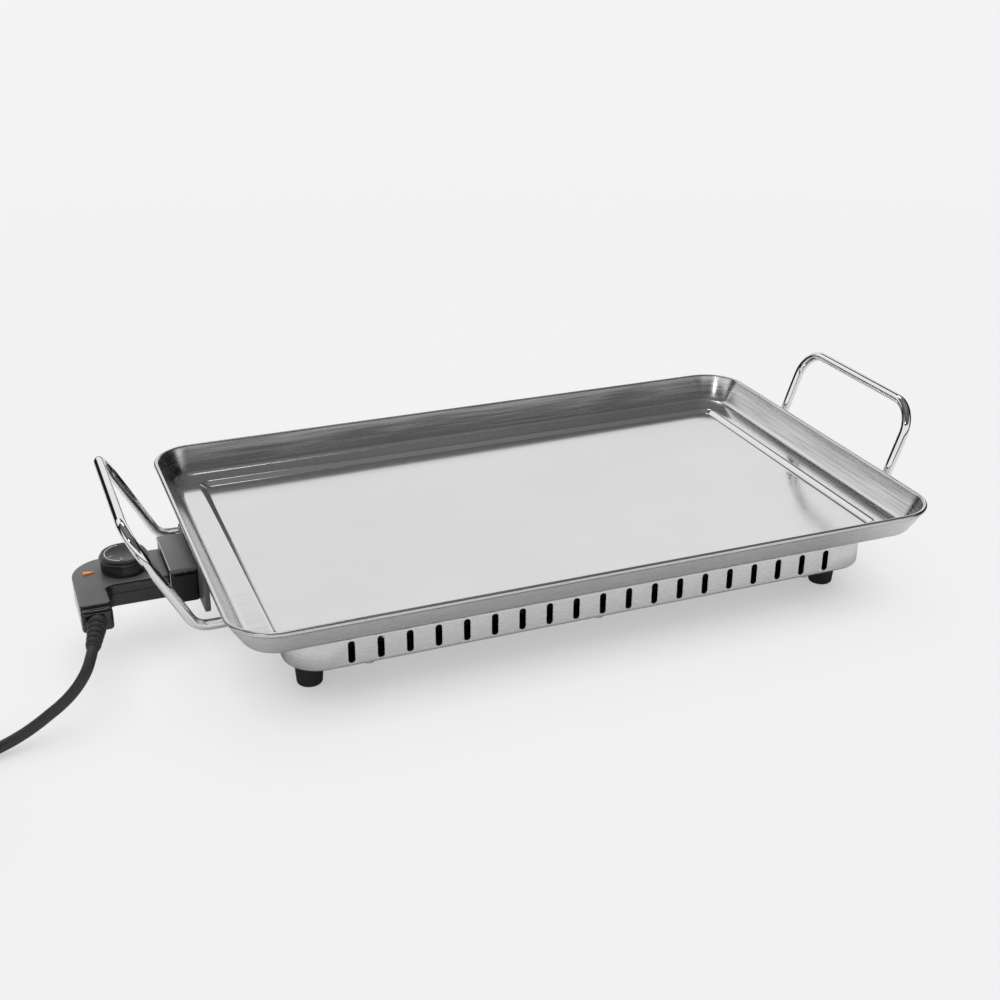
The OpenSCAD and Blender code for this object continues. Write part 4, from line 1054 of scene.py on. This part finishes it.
# floor, light and sky
stageLook = {
    "floorHalf": 6, "floorTone": 0.84, "floorSeen": 0.13, "floorGlow": 0.77, "backdrop": 0.885,
    "near": 0.5, "far": 1.5, "contact": 0.045, "paintedShadowTone": 0.5, "tableEnd": (0.6, 0.85),
    # a bright backdrop up to 30 degrees, the dark room above it, and a grey ceiling
    "skyStops": [(0.0, 0.86), (0.49, 0.86), (0.53, 0.03), (0.60, 0.05), (0.70, 0.10), (0.85, 0.13),
                 (0.95, 0.19)],
    # cards round the backdrop: azimuth from +Y, height and half width in degrees, then brightness
    "cards": [(-44, 0, 38, 0.01), (88, 0, 42, 0.01), (157, 47, 27, 0.1), (-19, 37, 16, 0.95),
              (-38, 22, 14, 0.8), (8, 57, 8, 2.6)],
    "lampSize": 3.0, "lampPower": 40, "lampPlace": (0.2, 0.2, 2.2),
    "spotSize": 0.22, "spotPower": 3.0, "spotPlace": (-1.5, -1.2, 1.7),
}


def makeStage():
    bm = bmesh.new()
    half = stageLook["floorHalf"]
    bm.faces.new([bm.verts.new((sx * half, sy * half, 0)) for sx, sy in ((-1, -1), (1, -1), (1, 1), (-1, 1))])
    floor = newPiece("floor", bm, "zinc", 30, False)
    material, tree, shader = startMaterial("paleFloor")
    shader.inputs["Roughness"].default_value = 0.9
    shader.inputs["Specular IOR Level"].default_value = 0.1
    # to the camera the floor is as pale as the backdrop, with a faint lit shadow and a painted contact shadow,
    # ambient occlusion that darkens its glow, deepest near the feet;
    # in reflections it is a table that ends in the dark
    path = addNode(tree, "ShaderNodeLightPath")
    place = addNode(tree, "ShaderNodeTexCoord")
    reach = addNode(tree, "ShaderNodeVectorMath", operation="LENGTH")
    tree.links.new(place.outputs["Object"], reach.inputs[0])

    def fading(near, far, begin=stageLook["near"], end=stageLook["far"]):
        node = addNode(tree, "ShaderNodeMapRange")
        for label, value in (("From Min", begin), ("From Max", end),
                             ("To Min", near), ("To Max", far)):
            node.inputs[label].default_value = value
        tree.links.new(reach.outputs["Value"], node.inputs["Value"])
        return node.outputs["Result"]

    # painted shadow: ambient occlusion darkens the floor's glow close to the griddle and its feet
    near = addNode(tree, "ShaderNodeAmbientOcclusion", samples=12)
    near.inputs["Distance"].default_value = stageLook["contact"]
    shade = addNode(tree, "ShaderNodeMapRange")
    shade.inputs["To Min"].default_value = stageLook["paintedShadowTone"]
    tree.links.new(near.outputs["AO"], shade.inputs["Value"])
    lit = addNode(tree, "ShaderNodeMath", operation="MULTIPLY")
    tree.links.new(fading(stageLook["floorGlow"], stageLook["backdrop"]), lit.inputs[0])
    tree.links.new(shade.outputs["Result"], lit.inputs[1])
    glow = addNode(tree, "ShaderNodeMath", operation="MULTIPLY")
    tree.links.new(lit.outputs[0], glow.inputs[1])
    tone = addNode(tree, "ShaderNodeMix", data_type="RGBA")
    tree.links.new(fading(stageLook["floorTone"], 0.02, *stageLook["tableEnd"]), tone.inputs["A"])
    tree.links.new(fading(stageLook["floorSeen"], 0), tone.inputs["B"])
    shader.inputs["Emission Color"].default_value = (1, 1, 1, 1)
    tree.links.new(path.outputs["Is Camera Ray"], glow.inputs[0])
    tree.links.new(path.outputs["Is Camera Ray"], tone.inputs["Factor"])
    tree.links.new(tone.outputs["Result"], shader.inputs["Base Color"])
    tree.links.new(glow.outputs[0], shader.inputs["Emission Strength"])
    floor.data.materials[0] = material


def makeLight(name, place, aim, size, power, mirrored):
    data = bpy.data.lights.new(name, "AREA")
    data.shape = "DISK"
    data.size = size
    data.energy = power
    lamp = bpy.data.objects.new(name, data)
    rootCollection.objects.link(lamp)
    lamp.visible_glossy = mirrored
    way = Vector(aim) - Vector(place)
    lamp.matrix_world = Matrix.Translation(place) @ way.to_track_quat("-Z", "Y").to_matrix().to_4x4()


def addCard(tree, place, sky, azimuth, rise, spread, level):
    # a round soft-edged card that stands in front of the sky
    aim = addNode(tree, "ShaderNodeVectorMath", operation="DOT_PRODUCT")
    aim.inputs[1].default_value = (math.sin(azimuth) * math.cos(rise), math.cos(azimuth) * math.cos(rise),
                                   math.sin(rise))
    edge = addNode(tree, "ShaderNodeMapRange")
    edge.inputs["From Min"].default_value = math.cos(spread)
    edge.inputs["From Max"].default_value = math.cos(spread * 0.88)
    cover = addNode(tree, "ShaderNodeMix", data_type="RGBA")
    cover.inputs["B"].default_value = (level, level, level, 1)
    tree.links.new(place.outputs["Generated"], aim.inputs[0])
    tree.links.new(aim.outputs["Value"], edge.inputs["Value"])
    tree.links.new(edge.outputs["Result"], cover.inputs["Factor"])
    tree.links.new(sky, cover.inputs["A"])
    return cover.outputs["Result"]


def makeSky():
    world = bpy.data.worlds.new("studio")
    bpy.context.scene.world = world
    world.use_nodes = True
    tree = world.node_tree
    background = tree.nodes["Background"]
    place = addNode(tree, "ShaderNodeTexCoord")
    height = addNode(tree, "ShaderNodeSeparateXYZ")
    ramp = addNode(tree, "ShaderNodeValToRGB")
    stops = stageLook["skyStops"]
    while len(ramp.color_ramp.elements) < len(stops):
        ramp.color_ramp.elements.new(0.5)
    for element, (position, level) in zip(ramp.color_ramp.elements, stops):
        element.position = position
        element.color = (level, level, level, 1)
    path = addNode(tree, "ShaderNodeLightPath")
    mix = addNode(tree, "ShaderNodeMix", data_type="RGBA")
    mix.inputs["B"].default_value = (*[stageLook["backdrop"]] * 3, 1)
    link = tree.links.new
    link(place.outputs["Generated"], height.inputs[0])
    link(height.outputs["Z"], ramp.inputs["Fac"])
    sky = ramp.outputs["Color"]
    for *angles, level in stageLook["cards"]:
        sky = addCard(tree, place, sky, *map(math.radians, angles), level)
    link(sky, mix.inputs["A"])
    link(path.outputs["Is Camera Ray"], mix.inputs["Factor"])
    link(mix.outputs["Result"], background.inputs["Color"])


makeStage()
makeSky()
makeLight("topLight", stageLook["lampPlace"], (0, 0, 0), stageLook["lampSize"], stageLook["lampPower"], False)
makeLight("glint", stageLook["spotPlace"], (-0.2, 0, 0), stageLook["spotSize"], stageLook["spotPower"], True)
bpy.context.scene.view_settings.view_transform = "Standard"
print("stage lit")
